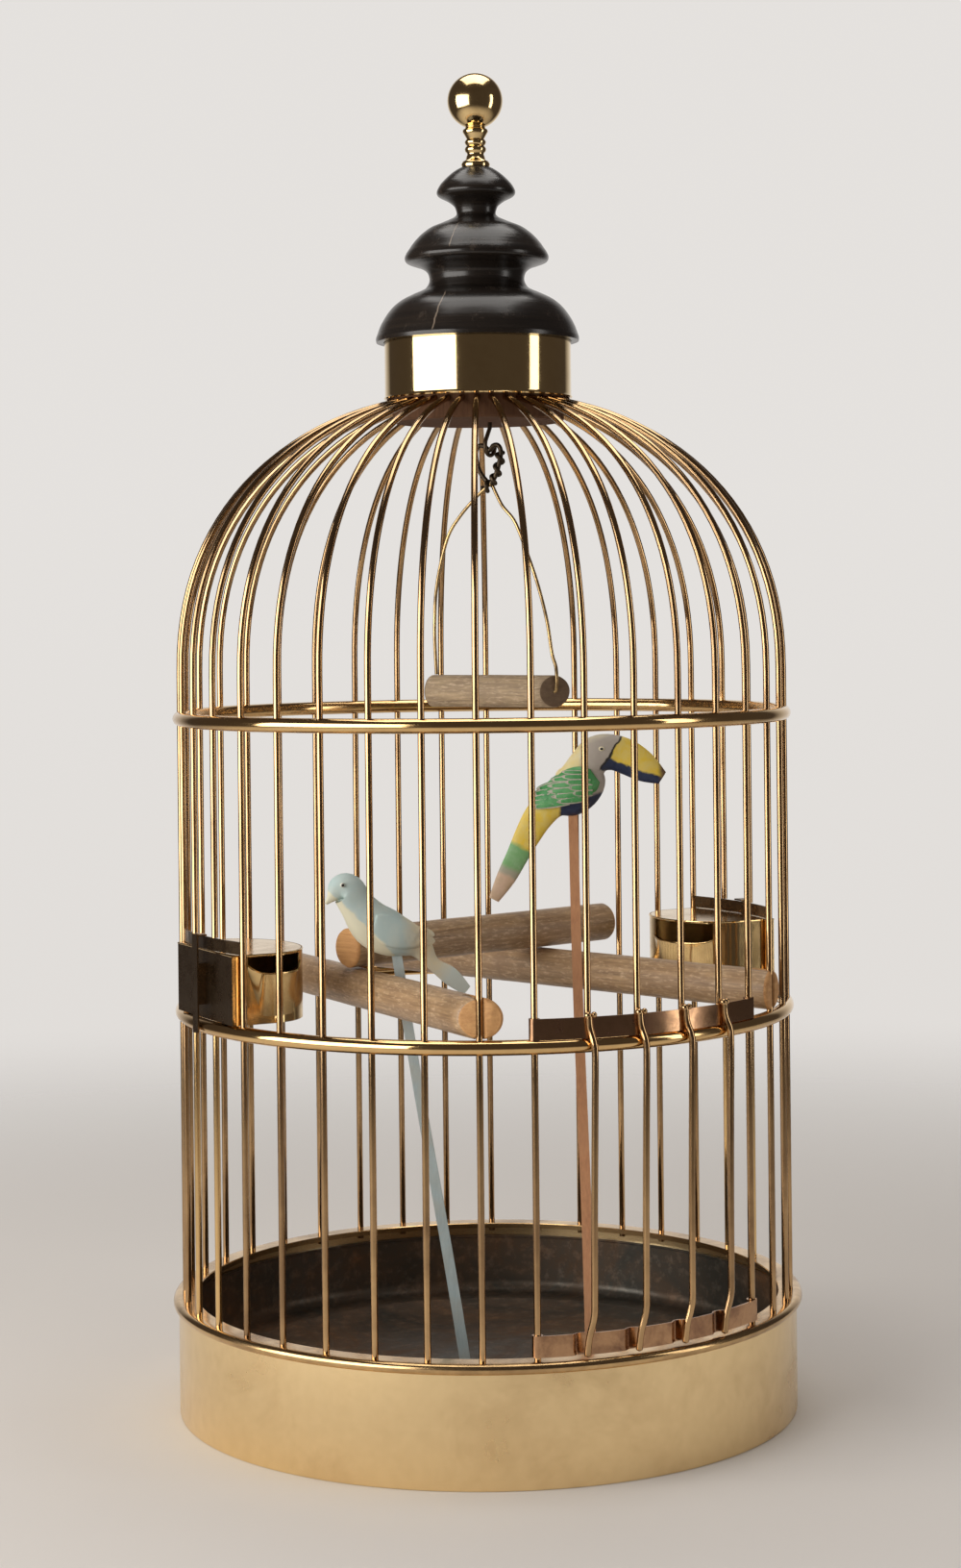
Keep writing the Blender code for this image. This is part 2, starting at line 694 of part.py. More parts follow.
def make_door():
    """Four wires on two straps, whose sleeves run on the two guide bars."""
    inner = door_band_radius()
    outer = inner + DOOR_STRAP_THICKNESS
    first, last = bar_turn(DOOR_FIRST_GUIDE), bar_turn(DOOR_LAST_GUIDE)
    sleeve_radius = BAR_RADIUS + SEAT_GAP + DOOR_STRAP_THICKNESS
    lower = RIM_TOP + DOOR_REST_GAP
    upper = MIDDLE_HOOP_TOP + SEAT_GAP
    top = upper + DOOR_STRAP_HEIGHT
    door = band("door", inner, outer, upper, top, first, last, DOOR_STRAP_STEPS, brass("door_brass"))
    foot = band("door_foot", inner, outer, lower, lower + DOOR_STRAP_HEIGHT, first, last, DOOR_STRAP_STEPS)
    boolean(door, foot, "UNION")
    for number, guide in enumerate((DOOR_FIRST_GUIDE, DOOR_LAST_GUIDE)):
        for level, low in (("lower", lower), ("upper", upper)):
            start = around(bar_turn(guide), BAR_CIRCLE_RADIUS, low)
            end = around(bar_turn(guide), BAR_CIRCLE_RADIUS, low + DOOR_STRAP_HEIGHT)
            sleeve = rod(f"{level}_sleeve_{number}", start, end, sleeve_radius, DOOR_SLEEVE_SIDES)
            boolean(door, sleeve, "UNION")
    for index in sorted(door_bars()):
        points = [around(bar_turn(index), radius, height) for radius, height in door_wire_path(lower, top)]
        sideways = turn_direction(bar_turn(index) + math.pi / 2)
        boolean(door, wire(f"door_wire_{index}", points, sideways, BAR_RADIUS), "UNION")
    guides = (DOOR_FIRST_GUIDE, DOOR_LAST_GUIDE)
    boolean(door, bar_holes("guide_holes", lower - CUT_OVERRUN, top + CUT_OVERRUN, guides), "DIFFERENCE")


def feeder_turn(side):
    first, last = feeder_guides(side)
    return (bar_turn(first) + bar_turn(last)) / 2


def feeder_half_width():
    """Half the width that passes between the two bars beside a feeder."""
    return BAR_CIRCLE_RADIUS * math.sin(FEEDER_GAPS * BAR_PITCH / 2) - BAR_RADIUS - FEEDER_SIDE_ROOM


def feeder_outline(inset):
    """A flat back and a round front, as (across, inwards), drawn in by an inset."""
    half = feeder_half_width() - inset
    straight = FEEDER_DEPTH * FEEDER_STRAIGHT_SHARE
    reach = FEEDER_DEPTH - straight - inset
    outline = [(half, inset)]
    for step in range(FEEDER_CURVE_STEPS + 1):
        angle = math.pi * step / FEEDER_CURVE_STEPS
        outline.append((half * math.cos(angle), straight + reach * math.sin(angle)))
    outline.append((-half, inset))
    return outline


def sill_height(low, share):
    """The feeding window's sill, which rises from its middle to its ends; share is -1 to 1 across it."""
    return low + FEEDER_HEIGHT * (FEEDER_SILL_SHARE + FEEDER_SILL_RISE_SHARE * share**2)


def feeder_window(name, low):
    """A cutter for the feeding window, from its curved sill up to the lid's edge."""
    half = feeder_half_width() * FEEDER_WINDOW_WIDTH_SHARE
    head = low + FEEDER_HEIGHT - FEEDER_LID_EDGE
    outline = [(half, head), (-half, head)]
    for step in range(FEEDER_SILL_STEPS + 1):
        share = 2 * step / FEEDER_SILL_STEPS - 1
        outline.append((half * share, sill_height(low, share)))
    depths = (FEEDER_DEPTH * FEEDER_STRAIGHT_SHARE, FEEDER_DEPTH + CUT_OVERRUN)
    bm = bmesh.new()
    skin(bm, [[(across, depth, height) for across, height in outline] for depth in depths])
    return mesh_object(name, bm)


def feeder_lip(name, low):
    """The sill's edge, flared outwards along the round front."""
    half = feeder_half_width()
    straight = FEEDER_DEPTH * FEEDER_STRAIGHT_SHARE
    reach = FEEDER_DEPTH - straight
    first = math.acos(FEEDER_WINDOW_WIDTH_SHARE)
    rings = []
    for step in range(FEEDER_SILL_STEPS + 1):
        angle = first + (math.pi - 2 * first) * step / FEEDER_SILL_STEPS
        sill = sill_height(low, math.cos(angle) / FEEDER_WINDOW_WIDTH_SHARE)
        depth = straight + reach * math.sin(angle)
        root = Vector((half * math.cos(angle), depth, sill - FEEDER_LIP_THICKNESS / 2))
        outwards = Vector((math.cos(angle) / half, math.sin(angle) / reach, 0.0)).normalized()
        rise = Vector((0.0, 0.0, FEEDER_LIP_RISE))
        thick = Vector((0.0, 0.0, FEEDER_LIP_THICKNESS))
        inner = root - outwards * FEEDER_WALL / 2
        outer = root + outwards * FEEDER_LIP_WIDTH + rise
        rings.append([inner, outer, outer - thick, inner - thick])
    bm = bmesh.new()
    skin(bm, rings)
    return mesh_object(name, bm)


def make_feeder(side):
    """A half-round cup with a lid and a feeding window, and a strap that stops it against the hoop."""
    low = MIDDLE_HOOP_TOP + SEAT_GAP
    high = low + FEEDER_HEIGHT
    cup = prism(f"feeder_{side}", feeder_outline(0.0), low, high, brass(f"feeder_{side}_brass"))
    hollow = prism(f"{side}_hollow", feeder_outline(FEEDER_WALL), low + FEEDER_WALL, high - FEEDER_WALL)
    window = feeder_window(f"{side}_window", low)
    lip = feeder_lip(f"{side}_lip", low)
    strap_face = HOOP_OUTER_RADIUS + SEAT_GAP - BAR_CIRCLE_RADIUS
    strap_half = FEEDER_STOP_WIDTH / 2
    strap_low = MIDDLE_HOOP_TOP - FEEDER_STOP_DROP
    strap_high = lintel_top() + SEAT_GAP + FEEDER_STOP_THICKNESS
    block_room = FEEDER_HEIGHT * (1 - FEEDER_BLOCK_SHARE) / 2
    strap = box(
        f"{side}_strap",
        (-strap_half, -strap_face - FEEDER_STOP_THICKNESS, strap_low),
        (strap_half, -strap_face, strap_high),
    )
    tab = box(
        f"{side}_tab",
        (-strap_half, -strap_face - WELD_DEPTH, strap_high - FEEDER_STOP_THICKNESS),
        (strap_half, -strap_face + FEEDER_TAB_LENGTH, strap_high),
    )
    block = box(
        f"{side}_block",
        (-strap_half / 2, -strap_face - WELD_DEPTH, low + block_room),
        (strap_half / 2, WELD_DEPTH, high - block_room),
    )
    boolean(cup, hollow, "DIFFERENCE")
    boolean(cup, window, "DIFFERENCE")
    turn = feeder_turn(side)
    for piece in (lip, strap, tab, block):
        boolean(cup, piece, "UNION")
    for piece in (cup, hollow, window, lip, strap, tab, block):
        piece.location = around(turn, BAR_CIRCLE_RADIUS, 0.0)
        piece.rotation_euler.z = turn


def make_lintel(side):
    """A strap above the feeder's opening, which carries the two cut bars."""
    first, last = feeder_guides(side)
    inset = (BAR_RADIUS + SEAT_GAP) / BAR_CIRCLE_RADIUS
    half = LINTEL_THICKNESS / 2
    band(
        f"feeder_{side}_lintel",
        BAR_CIRCLE_RADIUS - half,
        BAR_CIRCLE_RADIUS + half,
        lintel_top() - LINTEL_HEIGHT,
        lintel_top(),
        bar_turn(first) + inset,
        bar_turn(last) - inset,
        LINTEL_STEPS,
        material(f"{side}_lintel_brass", DARK_BRASS, WORN, METAL),
    )


def perch_ends(name):
    first, last = PERCH_BARS[name]
    return tuple(around(bar_turn(index), BAR_CIRCLE_RADIUS, PERCH_HEIGHT) for index in (first, last))


def log(name, start, end, look):
    """A perch rod with chamfered ends."""
    length = (end - start).length
    face = PERCH_RADIUS - PERCH_CHAMFER
    profile = [
        (0.0, 0.0),
        (face, 0.0),
        (PERCH_RADIUS, PERCH_CHAMFER),
        (PERCH_RADIUS, length - PERCH_CHAMFER),
        (face, length),
        (0.0, length),
    ]
    piece = turned(name, profile, PERCH_SIDES, look)
    piece.location = start
    piece.rotation_euler = (end - start).to_track_quat("Z", "Y").to_euler()
    return piece


def make_fixed_perch(name):
    """A round rod whose slotted ends straddle two bars."""
    start, end = perch_ends(name)
    along = (end - start).normalized()
    reach = along * PERCH_END_ROOM
    perch = log(name, start - reach, end + reach, material(name, PERCH_WOOD, BARE, NOT_METAL))
    half = BAR_RADIUS + SEAT_GAP
    tall = PERCH_RADIUS + CUT_OVERRUN
    for number, (bar, inwards) in enumerate(((start, along), (end, -along))):
        slot = box(
            f"{name}_slot_{number}",
            (-PERCH_END_ROOM - CUT_OVERRUN, -half, -tall),
            (PERCH_SLOT_DEPTH - PERCH_END_ROOM, half, tall),
        )
        slot.location = bar
        slot.rotation_euler.z = math.atan2(inwards.y, inwards.x)
        boolean(perch, slot, "DIFFERENCE")


def perch_point(name, share):
    start, end = perch_ends(name)
    return start.lerp(end, share)


def make_cross_perch():
    """A loose rod that lies across the two fixed ones."""
    lift = Vector((0.0, 0.0, PERCH_DIAMETER + SEAT_GAP))
    on_front = perch_point("perch_front", CROSS_PERCH_ON_FRONT_SHARE) + lift
    on_right = perch_point("perch_right", CROSS_PERCH_ON_RIGHT_SHARE) + lift
    along = (on_right - on_front).normalized()
    start = on_front - along * CROSS_PERCH_FRONT_OVERHANG
    end = on_right + along * CROSS_PERCH_RIGHT_OVERHANG
    log("perch_cross", start, end, material("cross_wood", PERCH_WOOD, BARE, NOT_METAL))


def swing_axes():
    """The swing's own axes: along its dowel, across it, and up."""
    along = Vector((math.cos(SWING_TURN), -math.sin(SWING_TURN), 0.0))
    across = Vector((math.sin(SWING_TURN), math.cos(SWING_TURN), 0.0))
    return along, across, Vector((0.0, 0.0, 1.0))


def swing_pivot():
    return Vector((SWING_HOOK_OFFSET, 0.0, CROWN_DISC_BOTTOM - SWING_PIVOT_DROP))


def dowel_centre():
    """The middle of the swing's dowel, which doesn't hang quite under the hook."""
    along, _, up = swing_axes()
    return swing_pivot() - up * SWING_DROP + along * SWING_HANG_SHIFT


def make_swing_hook():
    """A bent iron hook under the crown disc, whose low point the swing's ring hangs on."""
    along, across, up = swing_axes()
    pivot = swing_pivot()
    wire_gap = (SWING_WIRE_DIAMETER + SWING_HOOK_DIAMETER) / 2 + SEAT_GAP
    centre = pivot + up * (SWING_HOOK_RADIUS - wire_gap)
    top = Vector((pivot.x, pivot.y, CROWN_DISC_BOTTOM - SEAT_GAP))
    shoulder = (top.z - centre.z) / 2
    points = [top, top - up * shoulder / 2, centre - across * SWING_HOOK_RADIUS + up * shoulder / 2]
    for step in range(SWING_HOOK_STEPS + 1):
        angle = math.pi * step / SWING_HOOK_STEPS
        reach = -math.cos(angle) * SWING_HOOK_RADIUS
        drop = math.sin(angle) * SWING_HOOK_RADIUS
        points.append(centre + across * reach - up * drop)
    look = material("hook_iron", IRON_WIRE, WORN, METAL)
    wire("swing_hook", points, along, SWING_HOOK_DIAMETER / 2, look)


def make_swing_wire():
    """A ring, a twisted neck and two bowed legs, all one wire."""
    along, across, up = swing_axes()
    pivot = swing_pivot()
    radius = SWING_WIRE_DIAMETER / 2
    section = []
    for side in range(WIRE_SIDES):
        angle = math.tau * side / WIRE_SIDES
        section.append((SWING_RING_RADIUS + radius * math.cos(angle), radius * math.sin(angle)))
    ring = turned("swing_wire", section, SWING_RING_STEPS, material("swing_iron", DARK_BRASS, WORN, METAL))
    ring.location = pivot - up * SWING_RING_RADIUS
    ring.rotation_euler = (math.pi / 2, 0.0, -SWING_TURN)
    neck_top = pivot - up * (2 * SWING_RING_RADIUS - radius / 2)
    neck_bottom = pivot - up * (2 * SWING_RING_RADIUS + SWING_TWIST_LENGTH)
    twist = rod("swing_twist", neck_top, neck_bottom, SWING_TWIST_DIAMETER / 2, SWING_TWIST_SIDES)
    boolean(ring, twist, "UNION")
    start = neck_bottom + up * radius * 2
    dowel = dowel_centre()
    half = SWING_DOWEL_LENGTH / 2
    drop = start.z - dowel.z
    left_foot = half - SWING_LEG_INSET
    left = [start]
    right = [start]
    for out, down in SWING_LEG_SHARES:
        left.append(start - along * (left_foot - SWING_HANG_SHIFT) * out - up * drop * down)
        right.append(start + along * (half + SWING_HANG_SHIFT) * out - up * drop * down)
    left.append(dowel - along * left_foot + up * (SWING_DOWEL_DIAMETER / 2 + SEAT_GAP))
    right_out = half + SWING_LEG_STAND_OFF
    right.append(dowel + along * right_out + up * SWING_DOWEL_DIAMETER / 2)
    right.append(dowel + along * right_out + up * radius)
    right.append(dowel + along * (half - SWING_END_SLANT / 2 + radius + SEAT_GAP))
    boolean(ring, wire("swing_leg_left", left, across, radius), "UNION")
    boolean(ring, wire("swing_leg_right", right, across, radius), "UNION")


def make_swing_dowel():
    """A short rough rod, sawn on the slant at the end that faces the front."""
    along = swing_axes()[0]
    centre = dowel_centre()
    half = along * SWING_DOWEL_LENGTH / 2
    radius = SWING_DOWEL_DIAMETER / 2
    look = material("driftwood", DRIFTWOOD, BARE, NOT_METAL)
    dowel = rod("swing_dowel", centre - half, centre + half, radius, PERCH_SIDES, look)
    cut = prism(
        "dowel_cut",
        [
            (0.0, -radius - CUT_OVERRUN),
            (SWING_END_SLANT + CUT_OVERRUN, -radius - CUT_OVERRUN),
            (SWING_END_SLANT + CUT_OVERRUN, radius + CUT_OVERRUN),
            (SWING_END_SLANT, radius + CUT_OVERRUN),
        ],
        -radius - CUT_OVERRUN,
        radius + CUT_OVERRUN,
    )
    cut.location = centre + half - along * SWING_END_SLANT
    cut.rotation_euler.z = -SWING_TURN
    boolean(dowel, cut, "DIFFERENCE")


def lean_point(perch, share, side):
    """Where a stick leans on a perch's side; side is 1 or -1."""
    start, end = perch_ends(perch)
    along = (end - start).normalized()
    outwards = Vector((along.y, -along.x, 0.0)) * side
    clear = PERCH_RADIUS + math.hypot(STICK_WIDTH, STICK_THICKNESS) / 2 + STICK_LEAN_ROOM
    return perch_point(perch, share) + outwards * clear


def make_bird(name, shares, length, width_share, turn, rise, foot, lean, look):
    """A carved bird, lofted from beak to tail, on a tapered stick that leans on a perch."""
    top = foot.lerp(lean, 1.0 + rise / (lean.z - foot.z))
    centres = [Vector((length * along, 0.0, length * up)) for along, up, _ in shares]
    rings = []
    last = len(shares) - 1
    for number, centre in enumerate(centres):
        before, after = centres[max(number - 1, 0)], centres[min(number + 1, last)]
        run = (after - before).normalized()
        upright = Vector((-run.z, 0.0, run.x))
        tall = length * shares[number][2]
        wide = tall * width_share
        ring = []
        for side in range(BIRD_SIDES):
            angle = math.tau * side / BIRD_SIDES
            offset = upright * tall * math.cos(angle) + Vector((0.0, wide * math.sin(angle), 0.0))
            ring.append(centre + offset)
        rings.append(ring)
    bm = bmesh.new()
    skin(bm, rings)
    bird = mesh_object(name, bm, look)
    bird.location = top
    bird.rotation_euler.z = turn
    half_wide = Vector((STICK_WIDTH / 2, 0.0, 0.0))
    half_thick = Vector((0.0, STICK_THICKNESS / 2, 0.0))
    ends = []
    weld = (top - foot).normalized() * length * STICK_WELD_SHARE
    for centre, share in ((foot, 1.0), (top + weld, STICK_TOP_SHARE)):
        wide, thick = half_wide * share, half_thick * share
        corners = (-wide - thick, wide - thick, wide + thick, thick - wide)
        ends.append([centre + corner for corner in corners])
    bm = bmesh.new()
    skin(bm, ends)
    boolean(bird, mesh_object(f"{name}_stick", bm), "UNION")


def make_birds():
    floor = PAN_FLOOR_HEIGHT + SEAT_GAP
    for name, shares, length, width_share, turn, rise, foot_shares, lean, colour in (
        (
            "bird_blue",
            BLUE_BIRD_SHARES,
            BLUE_BIRD_LENGTH,
            BLUE_BIRD_WIDTH_SHARE,
            BLUE_BIRD_TURN,
            BLUE_BIRD_RISE,
            BLUE_BIRD_FOOT_SHARES,
            lean_point("perch_front", BLUE_BIRD_LEAN_SHARE, 1),
            PALE_BLUE,
        ),
        (
            "bird_toucan",
            TOUCAN_SHARES,
            TOUCAN_LENGTH,
            TOUCAN_WIDTH_SHARE,
            TOUCAN_TURN,
            TOUCAN_RISE,
            TOUCAN_FOOT_SHARES,
            lean_point("perch_right", TOUCAN_LEAN_SHARE, -1),
            LEAF_GREEN,
        ),
    ):
        foot = Vector((foot_shares[0] * BAR_CIRCLE_RADIUS, foot_shares[1] * BAR_CIRCLE_RADIUS, floor))
        look = material(name, colour, PAINTED, NOT_METAL)
        make_bird(name, shares, length, width_share, turn, rise, foot, lean, look)


def main():
    clear_scene()
    make_drum()
    make_rim()
    make_pan()
    make_bars()
    make_hoops()
    make_crown()
    make_finial()
    make_knob()
    make_door()
    for side in FEEDER_FIRST_GUIDES:
        make_feeder(side)
        make_lintel(side)
    for name in PERCH_BARS:
        make_fixed_perch(name)
    make_cross_perch()
    make_swing_hook()
    make_swing_wire()
    make_swing_dowel()
    make_birds()


main()
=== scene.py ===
"""The looks of the brass birdcage: smooth metalwork, worn perches and painted birds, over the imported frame."""

import math

import bmesh
import bpy
from mathutils import Matrix, Vector, noise


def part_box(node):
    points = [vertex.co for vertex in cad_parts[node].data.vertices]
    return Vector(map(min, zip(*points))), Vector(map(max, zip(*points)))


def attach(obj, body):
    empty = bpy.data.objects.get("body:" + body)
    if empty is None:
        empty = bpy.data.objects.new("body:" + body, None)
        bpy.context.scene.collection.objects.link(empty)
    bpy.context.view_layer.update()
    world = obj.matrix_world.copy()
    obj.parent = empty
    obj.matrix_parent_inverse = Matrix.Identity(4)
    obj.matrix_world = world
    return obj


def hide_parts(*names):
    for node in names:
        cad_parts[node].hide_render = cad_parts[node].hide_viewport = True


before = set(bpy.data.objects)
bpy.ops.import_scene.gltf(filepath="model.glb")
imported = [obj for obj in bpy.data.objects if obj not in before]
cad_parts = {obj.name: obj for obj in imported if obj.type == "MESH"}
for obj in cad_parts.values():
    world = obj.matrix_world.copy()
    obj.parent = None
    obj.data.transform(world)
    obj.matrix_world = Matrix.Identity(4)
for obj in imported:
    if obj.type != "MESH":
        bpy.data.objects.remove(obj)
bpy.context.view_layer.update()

UP = Vector((0.0, 0.0, 1.0))
BAR_COUNT = 38
PITCH = math.tau / BAR_COUNT
R = 0.2245
BAR_R = 0.0024
HOOP_R = 0.0055
MIDDLE = 0.296
UPPER = 0.512
HOOP_SQUASH = 0.95
HOOP_SEAT = MIDDLE + HOOP_R * HOOP_SQUASH + 0.0003
DOME_START, DOME_RISE, DOME_POWER = 0.545, 0.2057, 2.2
BAR_END_RADIUS = 0.064
FLANGE_RADIUS, DRUM_RADIUS, DRUM_TOP = 0.2161, 0.2296, 0.081
FINIAL_RADIUS, KNOB_RADIUS = 0.0757, 0.0207
STRAP_TALL, STRAP_THICK = 0.0145, 0.0012
CUT_BARS = (12, 13, 31, 32)
STICK_FOOT = 0.0283


def heights(node):
    """The lowest and the highest point of a solid."""
    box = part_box(node)
    return box[0].z, box[1].z


RIM_TOP = heights("base_rim")[1]
DISC_LOW = heights("crown_disc")[0]


# Materials

def nodes_of(name):
    made = bpy.data.materials.new(name)
    made.use_nodes = True
    tree = made.node_tree
    return made, tree, tree.nodes["Principled BSDF"]


def feed(tree, socket, value):
    """Gives a socket a number, a colour or another node's output."""
    if isinstance(value, tuple):
        socket.default_value = (*value, 1.0)
    elif isinstance(value, float):
        socket.default_value = value
    else:
        tree.links.new(value, socket)


def add(tree, kind, feeds=None, **values):
    node = tree.nodes.new(kind)
    for key, value in values.items():
        setattr(node, key, value)
    for key, value in (feeds or {}).items():
        feed(tree, node.inputs[key], value)
    return node


def calc(tree, operation, *values, **settings):
    """The result of a math node."""
    return add(tree, "ShaderNodeMath", dict(enumerate(values)), operation=operation, **settings).outputs[0]


def both(tree, first, second, operation="MULTIPLY"):
    return calc(tree, operation, first, second)


def coords(tree, scale=(1.0, 1.0, 1.0)):
    mapping = add(tree, "ShaderNodeMapping", {"Vector": add(tree, "ShaderNodeTexCoord").outputs["Object"]})
    mapping.inputs["Scale"].default_value = scale
    return mapping.outputs["Vector"]


def noise_of(tree, vector, scale, detail=5.0, rough=0.55, twist=0.0):
    feeds = {"Scale": scale, "Detail": detail, "Roughness": rough, "Distortion": twist, "Vector": vector}
    return add(tree, "ShaderNodeTexNoise", feeds).outputs["Fac"]


def spread(tree, value, low, high, to_low=0.0, to_high=1.0):
    feeds = {"From Min": low, "From Max": high, "To Min": to_low, "To Max": to_high, "Value": value}
    return add(tree, "ShaderNodeMapRange", feeds).outputs["Result"]


def mixed(tree, share, first, second):
    """The second colour over the first, by a share."""
    return add(tree, "ShaderNodeMix", {6: first, 7: second, 0: share}, data_type="RGBA").outputs[2]


def bumped(tree, shader, height, strength, distance):
    node = add(tree, "ShaderNodeBump", {"Strength": strength, "Distance": distance, "Height": height})
    tree.links.new(node.outputs["Normal"], shader.inputs["Normal"])


def cover(tree, shader, colour, rough):
    feed(tree, shader.inputs["Base Color"], colour)
    feed(tree, shader.inputs["Roughness"], rough)


def brass(name, colour, stain, rough, rough_stain, scale, low=0.45, high=0.75, dent=0.0):
    """Polished brass with patches of tarnish."""
    made, tree, shader = nodes_of(name)
    shader.inputs["Metallic"].default_value = 1.0
    place = coords(tree)
    patches = spread(tree, noise_of(tree, place, scale, 6.0, 0.6, 0.4), low, high)
    fine = spread(tree, noise_of(tree, place, scale * 9.0, 4.0), 0.35, 0.8)
    share = calc(tree, "MULTIPLY_ADD", fine, 0.25, patches, use_clamp=True)
    cover(tree, shader, mixed(tree, share, colour, stain), spread(tree, share, 0.0, 1.0, rough, rough_stain))
    if dent:
        bumped(tree, shader, noise_of(tree, place, 26.0, 2.0), dent, 0.002)
    return made


def timber(name, pale, dark, stain, rough, axis, bump=0.25, fleck=None):
    """Wood with grain that runs along an axis of the piece, and short pale flecks where they are given."""
    made, tree, shader = nodes_of(name)
    stretch = [1.0, 1.0, 1.0]
    stretch[axis] = 0.06
    grain = spread(tree, noise_of(tree, coords(tree, stretch), 420.0, 6.0, 0.7), 0.3, 0.7)
    wide = spread(tree, noise_of(tree, coords(tree), 34.0, 4.0, 0.6, 0.6), 0.42, 0.72)
    colour = mixed(tree, wide, mixed(tree, grain, dark, pale), stain)
    if fleck:
        stretch[axis] = 0.3
        spots = noise_of(tree, coords(tree, stretch), 520.0, 3.0, 0.6)
        colour = mixed(tree, spread(tree, spots, 0.52, 0.74, 0.0, 0.75), colour, fleck)
    cover(tree, shader, colour, rough)
    bumped(tree, shader, grain, bump, 0.0006)
    return made


def paint(name, colour, worn, rough=0.62, scale=90.0, low=0.5, high=0.8):
    """Flat hand-laid paint with brush marks and rubbed places."""
    made, tree, shader = nodes_of(name)
    place = coords(tree)
    thin = spread(tree, noise_of(tree, place, scale, 6.0, 0.65, 0.5), low, high)
    cover(tree, shader, mixed(tree, thin, colour, worn), rough)
    bumped(tree, shader, noise_of(tree, place, 600.0, 3.0), 0.2, 0.0004)
    return made


# Shapes

def placed(name, data):
    thing = bpy.data.objects.new(name, data)
    bpy.context.scene.collection.objects.link(thing)
    return thing


def show(name, bm, looks, angle=40.0, flip=True):
    if flip:
        bmesh.ops.recalc_face_normals(bm, faces=bm.faces[:])
    data = bpy.data.meshes.new(name)
    bm.to_mesh(data)
    bm.free()
    data.shade_smooth()
    data.set_sharp_from_angle(angle=math.radians(angle))
    thing = placed(name, data)
    for look in looks if isinstance(looks, (list, tuple)) else [looks]:
        data.materials.append(look)
    return thing


def settle(thing, body, slot, *nodes):
    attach(thing, body)
    if nodes:
        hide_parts(*nodes)
    return thing


def outward(turn):
    return Vector((math.sin(turn), -math.cos(turn), 0.0))


def sideways(turn):
    return Vector((math.cos(turn), math.sin(turn), 0.0))


def around(turn, radius, height):
    return outward(turn) * radius + UP * height


def smooth(points, steps):
    """A Catmull-Rom line through points."""
    line = []
    last = len(points) - 1
    for number in range(last):
        a = points[max(number - 1, 0)]
        b, c = points[number], points[number + 1]
        d = points[min(number + 2, last)]
        for step in range(steps):
            t = step / steps
            line.append(
                (b * 2 + (c - a) * t + (a * 2 - b * 5 + c * 4 - d) * t * t + (b * 3 - a - c * 3 + d) * t ** 3) / 2
            )
    line.append(points[-1])
    return line


def circle(sides):
    """The directions round a circle as (cosine, sine)."""
    return [(math.cos(math.tau * s / sides), math.sin(math.tau * s / sides)) for s in range(sides)]


def bridge(bm, rings):
    """Joins each ring of points to the next; a ring may be a single point."""
    for lower, upper in zip(rings, rings[1:]):
        count = max(len(lower), len(upper))
        for s in range(count if count > 1 else 0):
            o = (s + 1) % count
            corners = (lower[s % len(lower)], lower[o % len(lower)], upper[o % len(upper)], upper[s % len(upper)])
            bm.faces.new(list(dict.fromkeys(corners)))


def lathe(bm, profile, segments, closed=False):
    """Adds a profile of (radius, height) turned about Z."""
    rings = []
    for radius, height in profile:
        count = 1 if radius < 1e-7 else segments
        rings.append([bm.verts.new(around(math.tau * s / segments, radius, height)) for s in range(count)])
    bridge(bm, rings + rings[:1] if closed else rings)


def turned(name, profile, segments, look, slot, node, closed=False, angle=40.0):
    bm = bmesh.new()
    lathe(bm, profile, segments, closed)
    settle(show(name, bm, look, angle), "cage", slot, node)


def tube(bm, points, radii, sides=12, round_ends=False):
    """Adds a round tube along points; radii is one radius or one for each point."""
    count = len(points)
    if not isinstance(radii, (list, tuple)):
        radii = [radii] * count
    if round_ends:
        first, last = points[0], points[-1]
        head = (points[1] - first).normalized() * radii[0]
        tail = (last - points[-2]).normalized() * radii[-1]
        points = [first - head * 0.55, first - head * 0.3, *points, last + tail * 0.3, last + tail * 0.55]
        radii = [radii[0] * 0.3, radii[0] * 0.8, *radii, radii[-1] * 0.8, radii[-1] * 0.3]
        count = len(points)
    run = (points[1] - points[0]).normalized()
    normal = run.orthogonal().normalized()
    rings = []
    for number in range(count):
        before = points[max(number - 1, 0)]
        after = points[min(number + 1, count - 1)]
        new_run = (after - before).normalized()
        normal = run.rotation_difference(new_run) @ normal
        normal = (normal - new_run * normal.dot(new_run)).normalized()
        run = new_run
        other = run.cross(normal)
        rings.append(
            [
                bm.verts.new(points[number] + normal * radii[number] * c + other * radii[number] * s)
                for c, s in circle(sides)
            ]
        )
    bridge(bm, rings)
    bm.faces.new(rings[0])
    bm.faces.new(rings[-1])


def in_order(parts, key):
    """Sorts a mesh's vertices or faces by a key that may be a list; Blender's own sort takes numbers only."""
    rank = {part: float(number) for number, part in enumerate(sorted(parts, key=key))}
    parts.sort(key=rank.get)


def ball(bm, centre, radius, squash=1.0, segments=14):
    """Adds a ball; Blender lists a sphere's faces in another order on each run, so they are sorted."""
    bmesh.ops.create_uvsphere(
        bm,
        u_segments=segments,
        v_segments=segments // 2 + 1,
        radius=radius,
        matrix=Matrix.Translation(centre) @ Matrix.Diagonal((1.0, 1.0, squash, 1.0)),
    )
    in_order(bm.verts, lambda vert: tuple(vert.co))
    in_order(bm.faces, lambda face: sorted(tuple(vert.co) for vert in face.verts))


